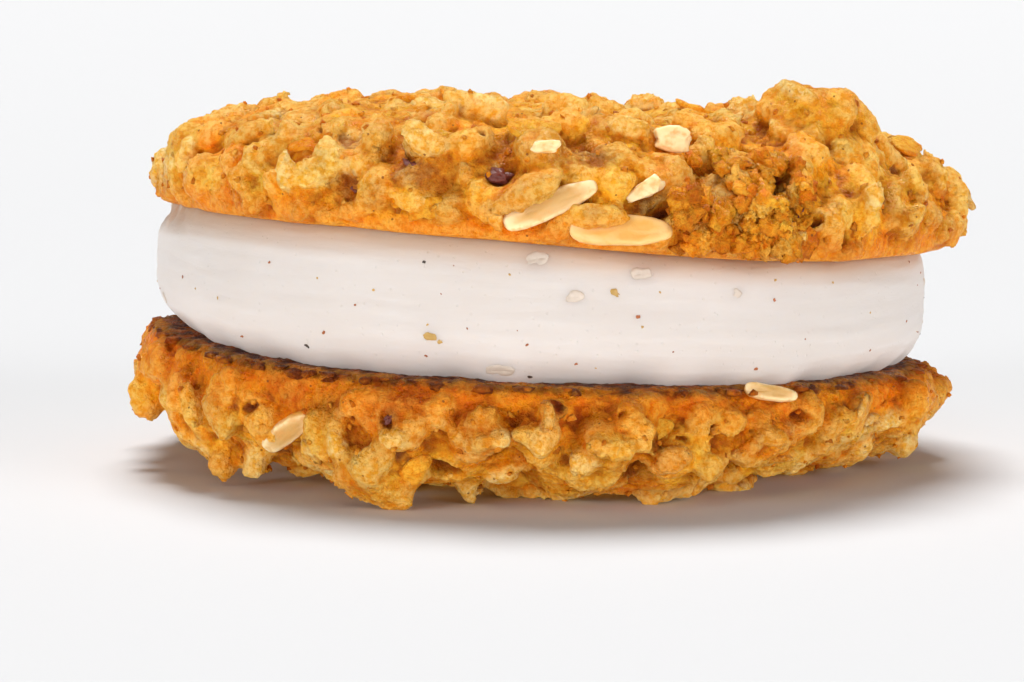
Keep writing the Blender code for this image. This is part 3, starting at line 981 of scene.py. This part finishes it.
def crumb_rise(point):
    """How far the dough's own crumb stands out at a point."""
    rise = 0.0
    for width, depth in CRUMB_GRAINS:
        rise += depth * (0.5 - noise.voronoi(point / width)[0][0])
    width, depth = FINE_GRAIN
    return rise + depth * noise.noise(point / width)


def press_pits(cookie, mesh, draw):
    """Small slits and hollows in the skin, with shade painted into each, and the listed stains, which darken the place
    where the dough is broken open.
    """
    points = points_of(mesh)
    skin_tree, core_tree = cookie["trees"]
    cookie["caves"] = []
    for pixel, radius, depth in cookie["pits"]:
        seat = seat_at_pixel(cookie, skin_tree, pixel)[0]
        normal = core_tree.find_nearest(seat)[1]
        inverse = body_matrix(seat, normal, Vector([draw.uniform(-1, 1) for _ in range(3)]), (3.2, 1.5, 2.0)).inverted()
        local = points @ np.array(inverse)[:3, :3].T + np.array(inverse)[:3, 3]
        near = np.clip(1 - (np.linalg.norm(local, axis=1) / radius) ** 2, 0, 1)
        points -= np.array(normal) * (depth * near**0.8)[:, None]
        # Shade painted round the bottom of the pit.
        cookie["caves"].append((seat - normal * depth, 1.25 * radius, PIT_SHADE_COLOUR, 1.0))
    for pixel, radius, colour, share in cookie["stains"]:
        cookie["caves"].append((seat_at_pixel(cookie, skin_tree, pixel)[0], radius, colour, share))
    set_points(mesh, points)


def thin_out(skin):
    """Takes the skin down to the most triangles that a piece may have."""
    triangles = 2 * len(skin.data.polygons)
    print(skin.name, "has", triangles, "triangles")
    if triangles > MOST_TRIANGLES:
        thin = skin.modifiers.new("thinned", "DECIMATE")
        thin.ratio = MOST_TRIANGLES / triangles
        apply_modifiers(skin)


def toast_at(cookie, points):
    """How brown the crust is baked: most at the flat face, which lay on the hot tray."""
    radius = np.hypot(points[:, 0], points[:, 1])
    height = points[:, 2]
    if cookie is LOWER:
        toast = 1.0 - 0.85 * smooth_step(0.6, 5.5, height)
    else:
        toast = 0.8 * (1 - smooth_step(0.2, 4.0, height))
    return np.where((radius < cookie["radius"] - 3) & (height < 1), 1.0, toast)


def set_attributes(mesh, tint, crease, toast):
    tints = mesh.attributes.new("tint", "FLOAT_COLOR", "POINT")
    tints.data.foreach_set("color", np.c_[tint, np.ones(len(tint))].astype(np.float32).ravel())
    for name, values in (("crease", crease), ("toast", toast)):
        attribute = mesh.attributes.new(name, "FLOAT", "POINT")
        attribute.data.foreach_set("value", values.astype(np.float32))


def body_colour(kind, draw):
    """A tint for one body. The darker ones are baked browner, so they lose more green and blue than red."""
    colours = COLOURS[kind]
    colour = np.array(linear(colours[draw.randrange(len(colours))])[:3])
    return colour * draw.uniform(0.68, 1.02) ** np.array([1.0, 1.15, 1.5])


def colour_skin(cookie, mesh, bodies):
    """Each point takes the tint of the body that it lies on, the depth of its crease, which the material paints as
    shade, and how brown it is baked.
    """
    points = points_of(mesh)
    order = np.argsort(points[:, 0])
    along = points[order, 0]
    nearest = np.full(len(points), 1.6)
    dough = np.array(linear(DOUGH_COLOUR)[:3])
    tint = np.tile(dough, (len(points), 1))
    draw = random.Random(cookie["seed"] + 1)
    for body in bodies:
        colour = body_colour(body.kind, draw)
        inverse = np.array(body.matrix.inverted())
        x = body.matrix.translation.x
        reach = body.length / 2 * 1.5
        index = order[np.searchsorted(along, x - reach) : np.searchsorted(along, x + reach)]
        away = points[index] - np.array(body.matrix.translation)
        index = index[np.abs(away).max(axis=1) < reach]
        local = points[index] @ inverse[:3, :3].T + inverse[:3, 3]
        distance = np.linalg.norm(local, axis=1)
        closer = distance < nearest[index]
        index = index[closer]
        nearest[index] = distance[closer]
        tint[index] = colour
    mask = 1 - smooth_step(1.1, 1.5, nearest)[:, None]
    edges = edges_of(mesh)
    normals = normals_of(mesh)
    tint = dough * (1 - mask) + tint * mask
    if cookie is LOWER:
        # The face is toasted by the tray and is also painted dark as shade under the cream.
        toast_and_shade = (smooth_step(0.1, 0.5, -normals[:, 2]) * (1 - smooth_step(0.4, 0.8, points[:, 2])))[:, None]
        tint = tint * (1 - toast_and_shade) + np.array(linear(FACE_TOAST_AND_SHADE_COLOUR)[:3]) * toast_and_shade
    # Painted shade in the pits, and the listed stains.
    for middle, radius, colour, share in cookie["caves"]:
        near = 1 - smooth_step(0.35 * radius, radius, np.linalg.norm(points - np.array(middle), axis=1))[:, None]
        tint = tint * (1 - share * near) + np.array(linear(colour)[:3]) * share * near
    tint = settled(tint, edges, 1)
    # The crease depth drives the painted shade in the crust's hollows.
    crease = np.zeros(len(points))
    for rounds, depth, share in CREASES:
        crease += share * ((settled(points, edges, rounds) - points) * normals).sum(axis=1) / depth
    crease = settled(crease[:, None], edges, 1)[:, 0]
    set_attributes(mesh, tint, crease, toast_at(cookie, points))


def coloured_bodies(cookie, bodies, name, draw):
    """Loose bodies joined in one mesh, each of one tint, with shade painted where it meets the skin."""
    parts = body_points(bodies)
    tints, creases = [], []
    for body, (points, _) in zip(bodies, parts):
        tints.append(np.tile(body_colour(body.kind, draw), (len(points), 1)))
        # Painted shade at each body's foot, carried by its crease.
        over = (points - np.array(body.seat)) @ np.array(body.normal)
        creases.append(0.18 * (1 - smooth_step(-0.2, 0.3, over)))
    mesh = joined_mesh(name, parts)
    toast = LOOSE_TOAST * toast_at(cookie, points_of(mesh))
    set_attributes(mesh, np.concatenate(tints), np.concatenate(creases), toast)
    return mesh


def finish_cookie_piece(cookie, mesh, name):
    """Puts a mesh of the cookie's own frame in its place in the pie, in metres, pressed flat by the table."""
    points = points_of(mesh)
    if name.endswith("_crust"):
        points[:, 2] = np.maximum(points[:, 2], -0.5)
    points = place(cookie, points)
    points[:, 2] = np.maximum(points[:, 2], 0.0)
    set_points(mesh, points * MM)
    mesh.name = name
    if cookie is LOWER and turned_in(mesh):
        mesh.flip_normals()
    return add_piece(mesh, crust_material(name))


def turned_in(mesh):
    """True where a closed mesh has its faces pointing inwards."""
    points = points_of(mesh)
    mesh.calc_loop_triangles()
    corners = np.empty(len(mesh.loop_triangles) * 3, np.int32)
    mesh.loop_triangles.foreach_get("vertices", corners)
    a, b, c = points[corners.reshape(-1, 3)].transpose(1, 0, 2)
    return np.einsum("ij,ij->i", a, np.cross(b, c)).sum() < 0


def broken_crumbs(cookie, trees, draw, group):
    """A heap of crumbs where the dough is broken open."""
    bodies = []
    kind, count, lengths, lifts = group
    left, top, right, bottom = cookie["broken"] or (0, 0, 0, 0)
    for _ in range(count if cookie["broken"] else 0):
        pixel = (draw.uniform(left, right), draw.uniform(top, bottom))
        length = draw.uniform(*lengths)
        size = (length, length * draw.uniform(0.5, 0.9), length * draw.uniform(0.4, 0.8))
        roll, lift = draw.uniform(0, 180), draw.uniform(*lifts)
        shape = draw.randrange(SHAPES_OF_A_KIND)
        clear = PIT_CLEARANCE * (1 + length)
        if any(math.dist(pixel, pit) < clear for pit, _, depth in cookie["pits"] if depth > 3):
            continue
        bodies.append(placed_body(cookie, trees, pixel, kind, size, roll, lift, 0.4, shape))
    return bodies


def face_crumbs(cookie, draw, taken):
    """Small crumbs on the flat face of the lower cookie, in the ring that the cream leaves bare."""
    bodies = []
    if cookie is LOWER:
        for _ in range(620):
            seat = polar(draw.uniform(33.5, 38.6), draw.uniform(0, 2 * math.pi), 0.0)
            length = draw.uniform(0.7, 2.4)
            size = (length, length * draw.uniform(0.6, 0.9), length * draw.uniform(0.3, 0.5))
            heading = polar(1.0, draw.uniform(0, 2 * math.pi), 0.0)
            normal = Vector((0, 0, -1))
            matrix = body_matrix(seat, normal, heading, size)
            if any((seat - other.seat).length < other.length / 2 for other in taken):
                continue
            bodies.append(Body(matrix, "face_crumb", draw.randrange(SHAPES_OF_A_KIND), length, seat, normal))
    return bodies


def make_nuts(name, material_name, groups):
    """Almond pieces or fruit, set in the cookies where they show."""
    parts, rims, sunk = [], [], []
    for cookie, rows in groups:
        for number, row in enumerate(rows):
            if name == "fruit_bits":
                pixel, *size, roll, lift = row
                kind, facing = "fruit", 0.5
            else:
                pixel, kind, *size, roll, lift, facing = row
            body = placed_body(cookie, cookie["trees"], pixel, kind, size, roll, lift, facing, number)
            for points, triangles in body_points([body], keep_off_tray=False):
                if cookie is LOWER:
                    triangles = triangles[:, ::-1]
                inverse = np.array(body.matrix.inverted())
                local = points @ inverse[:3, :3].T + inverse[:3, 3]
                flat = kind in ("slice", "coated")
                edge = smooth_step(0.55, 0.98, np.hypot(local[:, 0], local[:, 1])) if flat else 0.9
                rims.append(np.broadcast_to(edge, len(points)))
                over = (points - np.array(body.seat)) @ np.array(body.normal)
                sunk.append(np.maximum(1 - smooth_step(-0.1, 0.5, over), 0.55 if kind == "coated" else 0.0))
                parts.append((place(cookie, points) * MM, triangles))
    mesh = joined_mesh(name, parts)
    for title, values in (("rim", rims), ("sunk", sunk)):
        attribute = mesh.attributes.new(title, "FLOAT", "POINT")
        attribute.data.foreach_set("value", np.concatenate(values).astype(np.float32))
    material = almond_material() if name == "almond_pieces" else fruit_material()
    material.name = material_name
    add_piece(mesh, material)


# ---------------------------------------------------------------------------------------------- the cream


def cream_point(angle, share):
    """A point on the cream's side, in the frame of the lower cookie's leaning face."""
    out = 2 * share - 1
    circle = polar(1.0, angle, 0.0)
    wobble = 1 + 0.5 * noise.noise(circle * 7)
    tuck = CREAM_LOWER_TUCK * wobble * abs(out) ** 3.2 if out < 0 else CREAM_UPPER_TUCK * out**4
    wave = 0.5 * noise.noise(circle * 1.6) + 0.15 * noise.noise(circle * 6)
    height = (CREAM_THICKNESS + 0.6) * share
    # The knife's strokes run round the side.
    along = angle * CREAM_RADIUS
    stroke = 0.10 * noise.noise(Vector((along / 14, height / 1.1, 4.0)))
    stroke += 0.05 * noise.noise(Vector((along / 5, height / 0.35, 9.0)))
    ragged = smooth_step(0.72, 0.95, share) * smooth_step(0.8, 0.99, -math.cos(angle))
    stroke += 0.8 * ragged * noise.noise(Vector((along / 1.8, height / 1.8, 2.0)))
    point = polar(CREAM_RADIUS + wave + stroke - tuck - 0.8 * ragged, angle, 0.0)
    thickness = CREAM_THICKNESS - point.x * math.tan(UPPER_LEAN - LOWER_LEAN) + bend(DROOP, point.x, point.y)
    point.z = -0.3 + (thickness + 0.6) * share + bend(UPTURN, point.x, point.y) * (1 - share)
    return point


def make_cream(middle):
    bm = bmesh.new()
    sides, bands = 400, 60
    rings = []
    for i in range(bands + 1):
        share = (1 - math.cos(math.pi * i / bands)) / 2
        verts = [bm.verts.new(cream_point(2 * math.pi * k / sides, share)) for k in range(sides)]
        rings.append([bm.edges.new((verts[k - 1], verts[k])) for k in range(sides)])
    for lower, upper in zip(rings, rings[1:]):
        bmesh.ops.bridge_loops(bm, edges=lower + upper)
    bmesh.ops.holes_fill(bm, edges=bm.edges, sides=0)
    bmesh.ops.triangulate(bm, faces=[f for f in bm.faces if len(f.verts) > 4])
    bmesh.ops.recalc_face_normals(bm, faces=bm.faces)
    bmesh.ops.transform(bm, matrix=cream_place(middle), verts=bm.verts)
    mesh = bpy.data.meshes.new("cream_slab")
    bm.to_mesh(mesh)
    bm.free()
    # Near the top of its side the cream gets painted shade from the upper cookie's rim, warmed like light reflected
    # from the cookie.
    near_top = [cream_share(vert.co, middle) for vert in mesh.vertices]
    attribute = mesh.attributes.new("shade_tint", "FLOAT", "POINT")
    attribute.data.foreach_set("value", smooth_step(0.76, 1.0, np.array(near_top)).astype(np.float32))
    cream = add_piece(mesh, cream_material())
    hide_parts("cream")
    return cream


def cream_share(point, middle):
    """How far up the cream's side a point lies, from 0 at the lower cookie to 1 at the upper one."""
    local = cream_place(middle).inverted() @ point
    thickness = CREAM_THICKNESS - local.x * math.tan(UPPER_LEAN - LOWER_LEAN) + bend(DROOP, local.x, local.y)
    return local.z / thickness


def cream_place(middle):
    """Carries the cream from its own frame in millimetres to the pie in metres."""
    at = Matrix.Translation((middle.x + CREAM_SHIFT, middle.y, FACE_HEIGHT))
    return Matrix.Scale(MM, 4) @ at @ Matrix.Rotation(LOWER_LEAN, 4, "Y")


def make_specks(cream, middle):
    """Oat skins and spice in the cream's side: the ones that show in front, and more all round."""
    tree = tree_of(cream.data)
    draw = random.Random(5)
    shapes = kind_shapes("oat")
    parts, tints = [], []
    axis = Vector((middle.x + CREAM_SHIFT, middle.y, 0)) * MM
    rows = []
    for pixel, kind, length, width, roll in CREAM_SPECKS:
        point, normal, _, _ = tree.ray_cast(EYE * MM, sight_direction(pixel))
        rows.append((point, normal, kind, length, width, math.radians(roll)))
    for _ in range(150):
        kind = draw.choice(("oat_skin", "oat_skin", "tan", "red_brown", "red_brown", "black"))
        length = draw.uniform(0.8, 2.0) if kind == "oat_skin" else draw.uniform(0.15, 0.4)
        turn = draw.uniform(0, 2 * math.pi)
        toward = polar(1.0, turn, 0.0)
        height = draw.uniform(FACE_HEIGHT + 1.5, FACE_HEIGHT + CREAM_THICKNESS - 1) * MM
        point, normal, _, _ = tree.ray_cast(axis + Vector((0, 0, height)) + toward * 0.06, -toward)
        in_front = toward.y < -0.35
        if in_front and kind in ("oat_skin", "black"):
            continue
        rows.append((point, normal, kind, length, length * draw.uniform(0.5, 0.8), draw.uniform(0, math.pi)))
    for point, normal, kind, length, width, roll in rows:
        level = Vector((-normal.y, normal.x, 0)).normalized()
        heading = Matrix.Rotation(roll, 3, normal) @ level
        depth = 0.35 if kind == "oat_skin" else 0.2
        sink = 0.10 if kind == "oat_skin" else 0.03
        size = [side * MM for side in (length, width, depth)]
        matrix = np.array(body_matrix(point - normal * sink * MM, normal, heading, size))
        points, triangles = shapes[draw.randrange(SHAPES_OF_A_KIND)]
        parts.append((points @ matrix[:3, :3].T + matrix[:3, 3], triangles))
        colour = np.array(linear(SPECK_COLOURS[kind])[:3]) * draw.uniform(0.9, 1.1)
        tints.append(np.tile(colour, (len(points), 1)))
    mesh = joined_mesh("cream_specks", parts)
    tint = np.concatenate(tints)
    zero = np.zeros(len(tint))
    set_attributes(mesh, tint, zero, zero)
    add_piece(mesh, speck_material())


# ---------------------------------------------------------------------------------------------- materials


def linear(hex_colour):
    """A linear RGBA colour from an sRGB hex value."""
    parts = [int(hex_colour[i : i + 2], 16) / 255 for i in (0, 2, 4)]
    return [c / 12.92 if c <= 0.04045 else ((c + 0.055) / 1.055) ** 2.4 for c in parts] + [1.0]


def add_node(tree, kind, inputs=None, **settings):
    """Adds a node with its settings. An input takes a value, or a socket to be linked from."""
    node = tree.nodes.new(kind)
    for name, value in settings.items():
        setattr(node, name, value)
    for name, value in (inputs or {}).items():
        if isinstance(value, bpy.types.NodeSocket):
            tree.links.new(value, node.inputs[name])
        else:
            node.inputs[name].default_value = value
    return node


def new_material(name):
    """An empty material: (material, node tree, place in millimetres)."""
    material = bpy.data.materials.new(name)
    material.use_nodes = True
    tree = material.node_tree
    tree.nodes.clear()
    place_in = add_node(tree, "ShaderNodeTexCoord").outputs["Object"]
    scale = (1 / MM,) * 3
    return material, tree, add_node(tree, "ShaderNodeMapping", {"Vector": place_in, "Scale": scale}).outputs[0]


def crust_material(piece_name):
    """Baked oat dough: dry, crumbly and golden, with shade painted dark into its creases and a painted highlight on its
    ridges, brown where the tray toasted it.
    """
    material, tree, place_in = new_material("baked_oat_dough_" + piece_name)
    tint = add_node(tree, "ShaderNodeAttribute", attribute_name="tint").outputs["Color"]
    crease = add_node(tree, "ShaderNodeAttribute", attribute_name="crease").outputs["Fac"]
    toast = add_node(tree, "ShaderNodeAttribute", attribute_name="toast").outputs["Fac"]

    # The dough's patterns: (width in millimetres, detail, offset).
    patterns = {
        "coat": (1.5, 4.0, 0.0),
        "drift": (5.0, 2.0, 31.0),
        "fruit": (6.0, 2.0, 77.0),
        "mottle": (0.6, 5.0, 9.0),
        "shine": (1.6, 3.0, 55.0),
        "grain": (0.4, 4.0, 0.0),
        "coarse": (1.1, 3.0, 12.0),
    }
    noises = {}
    for name, (width, detail, offset) in patterns.items():
        at = add_node(tree, "ShaderNodeMapping", {"Vector": place_in, "Location": (offset,) * 3}).outputs[0]
        inputs = {"Vector": at, "Scale": 1 / width, "Detail": detail, "Roughness": 0.62}
        noises[name] = add_node(tree, "ShaderNodeTexNoise", inputs).outputs[0]
    bran = add_node(tree, "ShaderNodeTexVoronoi", {"Vector": place_in, "Scale": 1 / 1.7}).outputs["Distance"]

    # What each pattern does where: (value, from, to, least, most).
    ranges = {
        "coat": (noises["coat"], 0.47, 0.60, 0.0, 0.45),
        "drift": (noises["drift"], 0.40, 0.60, 0.0, 1.0),
        "fruit": (noises["fruit"], 0.59, 0.70, 0.0, 1.0),
        # Painted shade: the deeper the crease, the more the dough is painted dark brown.
        "crease_shade": (crease, 0.0, 0.8, 0.0, 0.95),
        # Painted highlight: the more a ridge stands out, the paler it is painted.
        "ridge_highlight": (crease, -0.15, -1.0, 0.0, 0.4),
        "mottle": (noises["mottle"], 0.58, 0.40, 0.0, 1.0),
        # Darker painted shade in the deepest hollows.
        "deep_crease_shade": (crease, 0.75, 1.8, 0.0, 0.9),
        "bran": (bran, 0.085, 0.05, 0.0, 0.9),
        "roughness": (noises["shine"], 0.42, 0.60, 0.55, 0.24),
    }
    masks = {}
    for name, (value, low, high, least, most) in ranges.items():
        inputs = {"Value": value, "From Min": low, "From Max": high, "To Min": least, "To Max": most}
        masks[name] = add_node(tree, "ShaderNodeMapRange", inputs).outputs[0]
    # Fruit tints the painted crease shade in places.
    inputs = {0: masks["crease_shade"], 1: masks["fruit"]}
    masks["shade_tint"] = add_node(tree, "ShaderNodeMath", inputs, operation="MULTIPLY").outputs[0]

    # From the oats outwards: batter, large patches between yellow and orange, painted shade in the creases that fruit
    # tints here and there, darker painted shade in the deepest hollows, a painted highlight on the ridges, crumb, the
    # tray's browning, and bran.
    layers = (
        ("MIX", masks["coat"], "f6ae30"),
        ("MULTIPLY", masks["drift"], "fcdc90"),
        # Painted shade in the creases, tinted by fruit in places, darkest in the deepest hollows.
        ("MIX", masks["crease_shade"], "ae6006"),
        ("MIX", masks["shade_tint"], "925a30"),
        ("MIX", masks["deep_crease_shade"], "5a2406"),
        # Painted highlight on the ridges.
        ("MIX", masks["ridge_highlight"], "ffdc86"),
        ("MULTIPLY", masks["mottle"], "f2d06c"),
        ("MULTIPLY", toast, "f4c876"),
        ("MIX", masks["bran"], "8a4a18"),
    )
    colour = tint
    for blend, share, layer_colour in layers:
        inputs = {0: share, 6: colour, 7: linear(layer_colour)}
        colour = add_node(tree, "ShaderNodeMix", inputs, data_type="RGBA", blend_type=blend).outputs[2]

    inputs = {0: noises["grain"], 1: noises["coarse"]}
    height = add_node(tree, "ShaderNodeMath", inputs, operation="ADD").outputs[0]
    bump = add_node(tree, "ShaderNodeBump", {"Height": height, "Distance": 0.6 * MM, "Strength": 1.0}).outputs[0]
    inputs = {
        "Base Color": colour,
        "Roughness": masks["roughness"],
        "Specular IOR Level": 0.15,
        "Normal": bump,
        "Subsurface Weight": DEPTH_OF_GLOW[piece_name.rsplit("_")[-1]],
        "Subsurface Radius": (1.0, 0.8, 0.35),
        "Subsurface Scale": 0.8 * MM,
    }
    shader = add_node(tree, "ShaderNodeBsdfPrincipled", inputs)
    add_node(tree, "ShaderNodeOutputMaterial", {"Surface": shader.outputs[0]})
    return material


def almond_material():
    """Blanched almond: dense, smooth and waxy, and light shines a little way into it."""
    material, tree, place_in = new_material("almond_flesh")
    rim = add_node(tree, "ShaderNodeAttribute", attribute_name="rim").outputs["Fac"]
    sunk = add_node(tree, "ShaderNodeAttribute", attribute_name="sunk").outputs["Fac"]
    cloud = add_node(tree, "ShaderNodeTexNoise", {"Vector": place_in, "Scale": 1 / 0.9, "Detail": 4.0}).outputs[0]
    inputs = {"Value": cloud, "From Min": 0.5, "From Max": 0.66, "To Min": 0.0, "To Max": 0.7}
    patches = add_node(tree, "ShaderNodeMapRange", inputs).outputs[0]
    # The flesh is glassy in the middle of a slice and whiter at its rim, with batter smeared round its foot.
    colour = linear("cca05c")
    for share, layer_colour in ((rim, "f0d09c"), (patches, "d49c50"), (sunk, "e6a440")):
        inputs = {0: share, 6: colour, 7: linear(layer_colour)}
        colour = add_node(tree, "ShaderNodeMix", inputs, data_type="RGBA").outputs[2]
    inputs = {"Vector": place_in, "Scale": 1 / 0.4, "Detail": 3.0}
    fibre = add_node(tree, "ShaderNodeTexNoise", inputs).outputs[0]
    bump = add_node(tree, "ShaderNodeBump", {"Height": fibre, "Distance": 0.1 * MM, "Strength": 0.5}).outputs[0]
    inputs = {
        "Base Color": colour,
        "Roughness": 0.42,
        "Normal": bump,
        "Subsurface Weight": 0.5,
        "Subsurface Radius": (1.0, 0.8, 0.5),
        "Subsurface Scale": 1.5 * MM,
    }
    shader = add_node(tree, "ShaderNodeBsdfPrincipled", inputs)
    add_node(tree, "ShaderNodeOutputMaterial", {"Surface": shader.outputs[0]})
    return material


def fruit_material():
    """Stewed dried fruit: dark, wrinkled and sticky."""
    material, tree, place_in = new_material("stewed_fruit")
    cloud = add_node(tree, "ShaderNodeTexNoise", {"Vector": place_in, "Scale": 1 / 0.7, "Detail": 4.0}).outputs[0]
    inputs = {0: cloud, 6: linear("4e1c18"), 7: linear("7c3828")}
    colour = add_node(tree, "ShaderNodeMix", inputs, data_type="RGBA").outputs[2]
    bump = add_node(tree, "ShaderNodeBump", {"Height": cloud, "Distance": 0.4 * MM, "Strength": 1.0}).outputs[0]
    inputs = {"Base Color": colour, "Roughness": 0.45, "Normal": bump}
    shader = add_node(tree, "ShaderNodeBsdfPrincipled", inputs)
    add_node(tree, "ShaderNodeOutputMaterial", {"Surface": shader.outputs[0]})
    return material


def speck_material():
    """Oat skins and ground spice in the cream, wet with it."""
    material, tree, place_in = new_material("oat_skin_and_spice")
    tint = add_node(tree, "ShaderNodeAttribute", attribute_name="tint").outputs["Color"]
    cloud = add_node(tree, "ShaderNodeTexNoise", {"Vector": place_in, "Scale": 1 / 0.5, "Detail": 3.0}).outputs[0]
    inputs = {"Value": cloud, "To Min": 0.85, "To Max": 1.15}
    shade = add_node(tree, "ShaderNodeMapRange", inputs).outputs[0]
    colour = add_node(tree, "ShaderNodeVectorMath", {0: tint, "Scale": shade}, operation="SCALE").outputs[0]
    shader = add_node(tree, "ShaderNodeBsdfPrincipled", {"Base Color": colour, "Roughness": 0.35})
    add_node(tree, "ShaderNodeOutputMaterial", {"Surface": shader.outputs[0]})
    return material


def cream_material():
    """Whipped cream: soft white with a satin skin and the finest air bubbles, with painted shade near the top, warmed
    as by light thrown back from the cookie.
    """
    material, tree, place_in = new_material("whipped_cream")
    inputs = {"Vector": place_in, "Scale": 1 / 6.0, "Detail": 3.0}
    cloud = add_node(tree, "ShaderNodeTexNoise", inputs).outputs[0]
    inputs = {0: cloud, 6: linear("d0c9c4"), 7: linear("ccc3bc")}
    colour = add_node(tree, "ShaderNodeMix", inputs, data_type="RGBA").outputs[2]
    # Painted shade and warm painted reflection near the top of the side.
    shade_tint = add_node(tree, "ShaderNodeAttribute", attribute_name="shade_tint").outputs["Fac"]
    inputs = {0: shade_tint, 6: colour, 7: linear("c0a48c")}
    colour = add_node(tree, "ShaderNodeMix", inputs, data_type="RGBA").outputs[2]
    squeezed = add_node(tree, "ShaderNodeMapping", {"Vector": place_in, "Scale": (0.25, 0.25, 1.0)}).outputs[0]
    inputs = {"Vector": squeezed, "Scale": 1 / 0.5, "Detail": 4.0}
    stroke = add_node(tree, "ShaderNodeTexNoise", inputs).outputs[0]
    bubbles = add_node(tree, "ShaderNodeTexVoronoi", {"Vector": place_in, "Scale": 1 / 0.9}).outputs["Distance"]
    inputs = {"Value": bubbles, "From Min": 0.05, "From Max": 0.16}
    bubble = add_node(tree, "ShaderNodeMapRange", inputs).outputs[0]
    height = add_node(tree, "ShaderNodeMath", {0: stroke, 1: bubble}, operation="ADD").outputs[0]
    bump = add_node(tree, "ShaderNodeBump", {"Height": height, "Distance": 0.08 * MM, "Strength": 0.5}).outputs[0]
    inputs = {
        "Base Color": colour,
        "Roughness": 0.5,
        "Specular IOR Level": 0.4,
        "Normal": bump,
        "Subsurface Weight": 1.0,
        "Subsurface Radius": (1.0, 0.88, 0.76),
        "Subsurface Scale": 5 * MM,
    }
    shader = add_node(tree, "ShaderNodeBsdfPrincipled", inputs)
    add_node(tree, "ShaderNodeOutputMaterial", {"Surface": shader.outputs[0]})
    return material


# ---------------------------------------------------------------------------------------------- the studio


def set_stage():
    scene = bpy.context.scene
    scene.view_settings.view_transform = "Standard"
    world = bpy.data.worlds.new("studio")
    world.use_nodes = True
    world.node_tree.nodes["Background"].inputs["Color"].default_value = (0.97, 0.98, 1, 1)
    world.node_tree.nodes["Background"].inputs["Strength"].default_value = 0.12
    scene.world = world
    # The key comes from above and a little behind, the rest from low windows in front.
    add_softbox("key", 3.85, 26, (-0.04, 0.32, 1.0))
    add_softbox("lamp", 0.2, 14, (-0.2, -0.75, 0.7))
    add_softbox("left_window", 4.4, 30, (-0.82, -0.57, 0.04))
    add_softbox("right_window", 3.6, 50, (0.82, -0.57, 0.04))
    add_softbox("camera_side", 1.45, 40, (0.0, -1.0, -0.55), casts_shadow=False)
    add_table()


def add_softbox(name, strength, width_degrees, toward, casts_shadow=True):
    """A distant soft light that shines from this direction."""
    light = bpy.data.lights.new(name, "SUN")
    light.energy = strength
    light.angle = math.radians(width_degrees)
    light.use_shadow = casts_shadow
    obj = bpy.data.objects.new(name, light)
    obj.rotation_euler = Vector(toward).to_track_quat("Z", "Y").to_euler()
    bpy.context.scene.collection.objects.link(obj)


def add_table():
    """A pale round table that curves up far away, so that no horizon shows."""
    bm = bmesh.new()
    flat, edge, lift, steps = 0.6, 3.2, 0.32, 24
    profile = [bm.verts.new((0, 0, 0)), bm.verts.new((flat, 0, 0))]
    for i in range(1, steps + 1):
        share = i / steps
        profile.append(bm.verts.new((flat + (edge - flat) * share, 0, lift * share * share)))
    edges = [bm.edges.new(pair) for pair in zip(profile, profile[1:])]
    bmesh.ops.spin(
        bm, geom=profile + edges, cent=(0, 0, 0), axis=(0, 0, 1), angle=2 * math.pi, steps=96, use_merge=True
    )
    bmesh.ops.remove_doubles(bm, verts=bm.verts, dist=1e-5)
    bmesh.ops.recalc_face_normals(bm, faces=bm.faces)
    if sum(face.normal.z for face in bm.faces) < 0:
        bmesh.ops.reverse_faces(bm, faces=bm.faces)
    mesh = bpy.data.meshes.new("table")
    bm.to_mesh(mesh)
    bm.free()
    mesh.shade_smooth()
    table = bpy.data.objects.new("table", mesh)
    bpy.context.scene.collection.objects.link(table)
    material = bpy.data.materials.new("table")
    material.use_nodes = True
    shader = material.node_tree.nodes["Principled BSDF"]
    shader.inputs["Base Color"].default_value = (0.59, 0.59, 0.595, 1)
    shader.inputs["Specular IOR Level"].default_value = 0.0
    mesh.materials.append(material)


main()
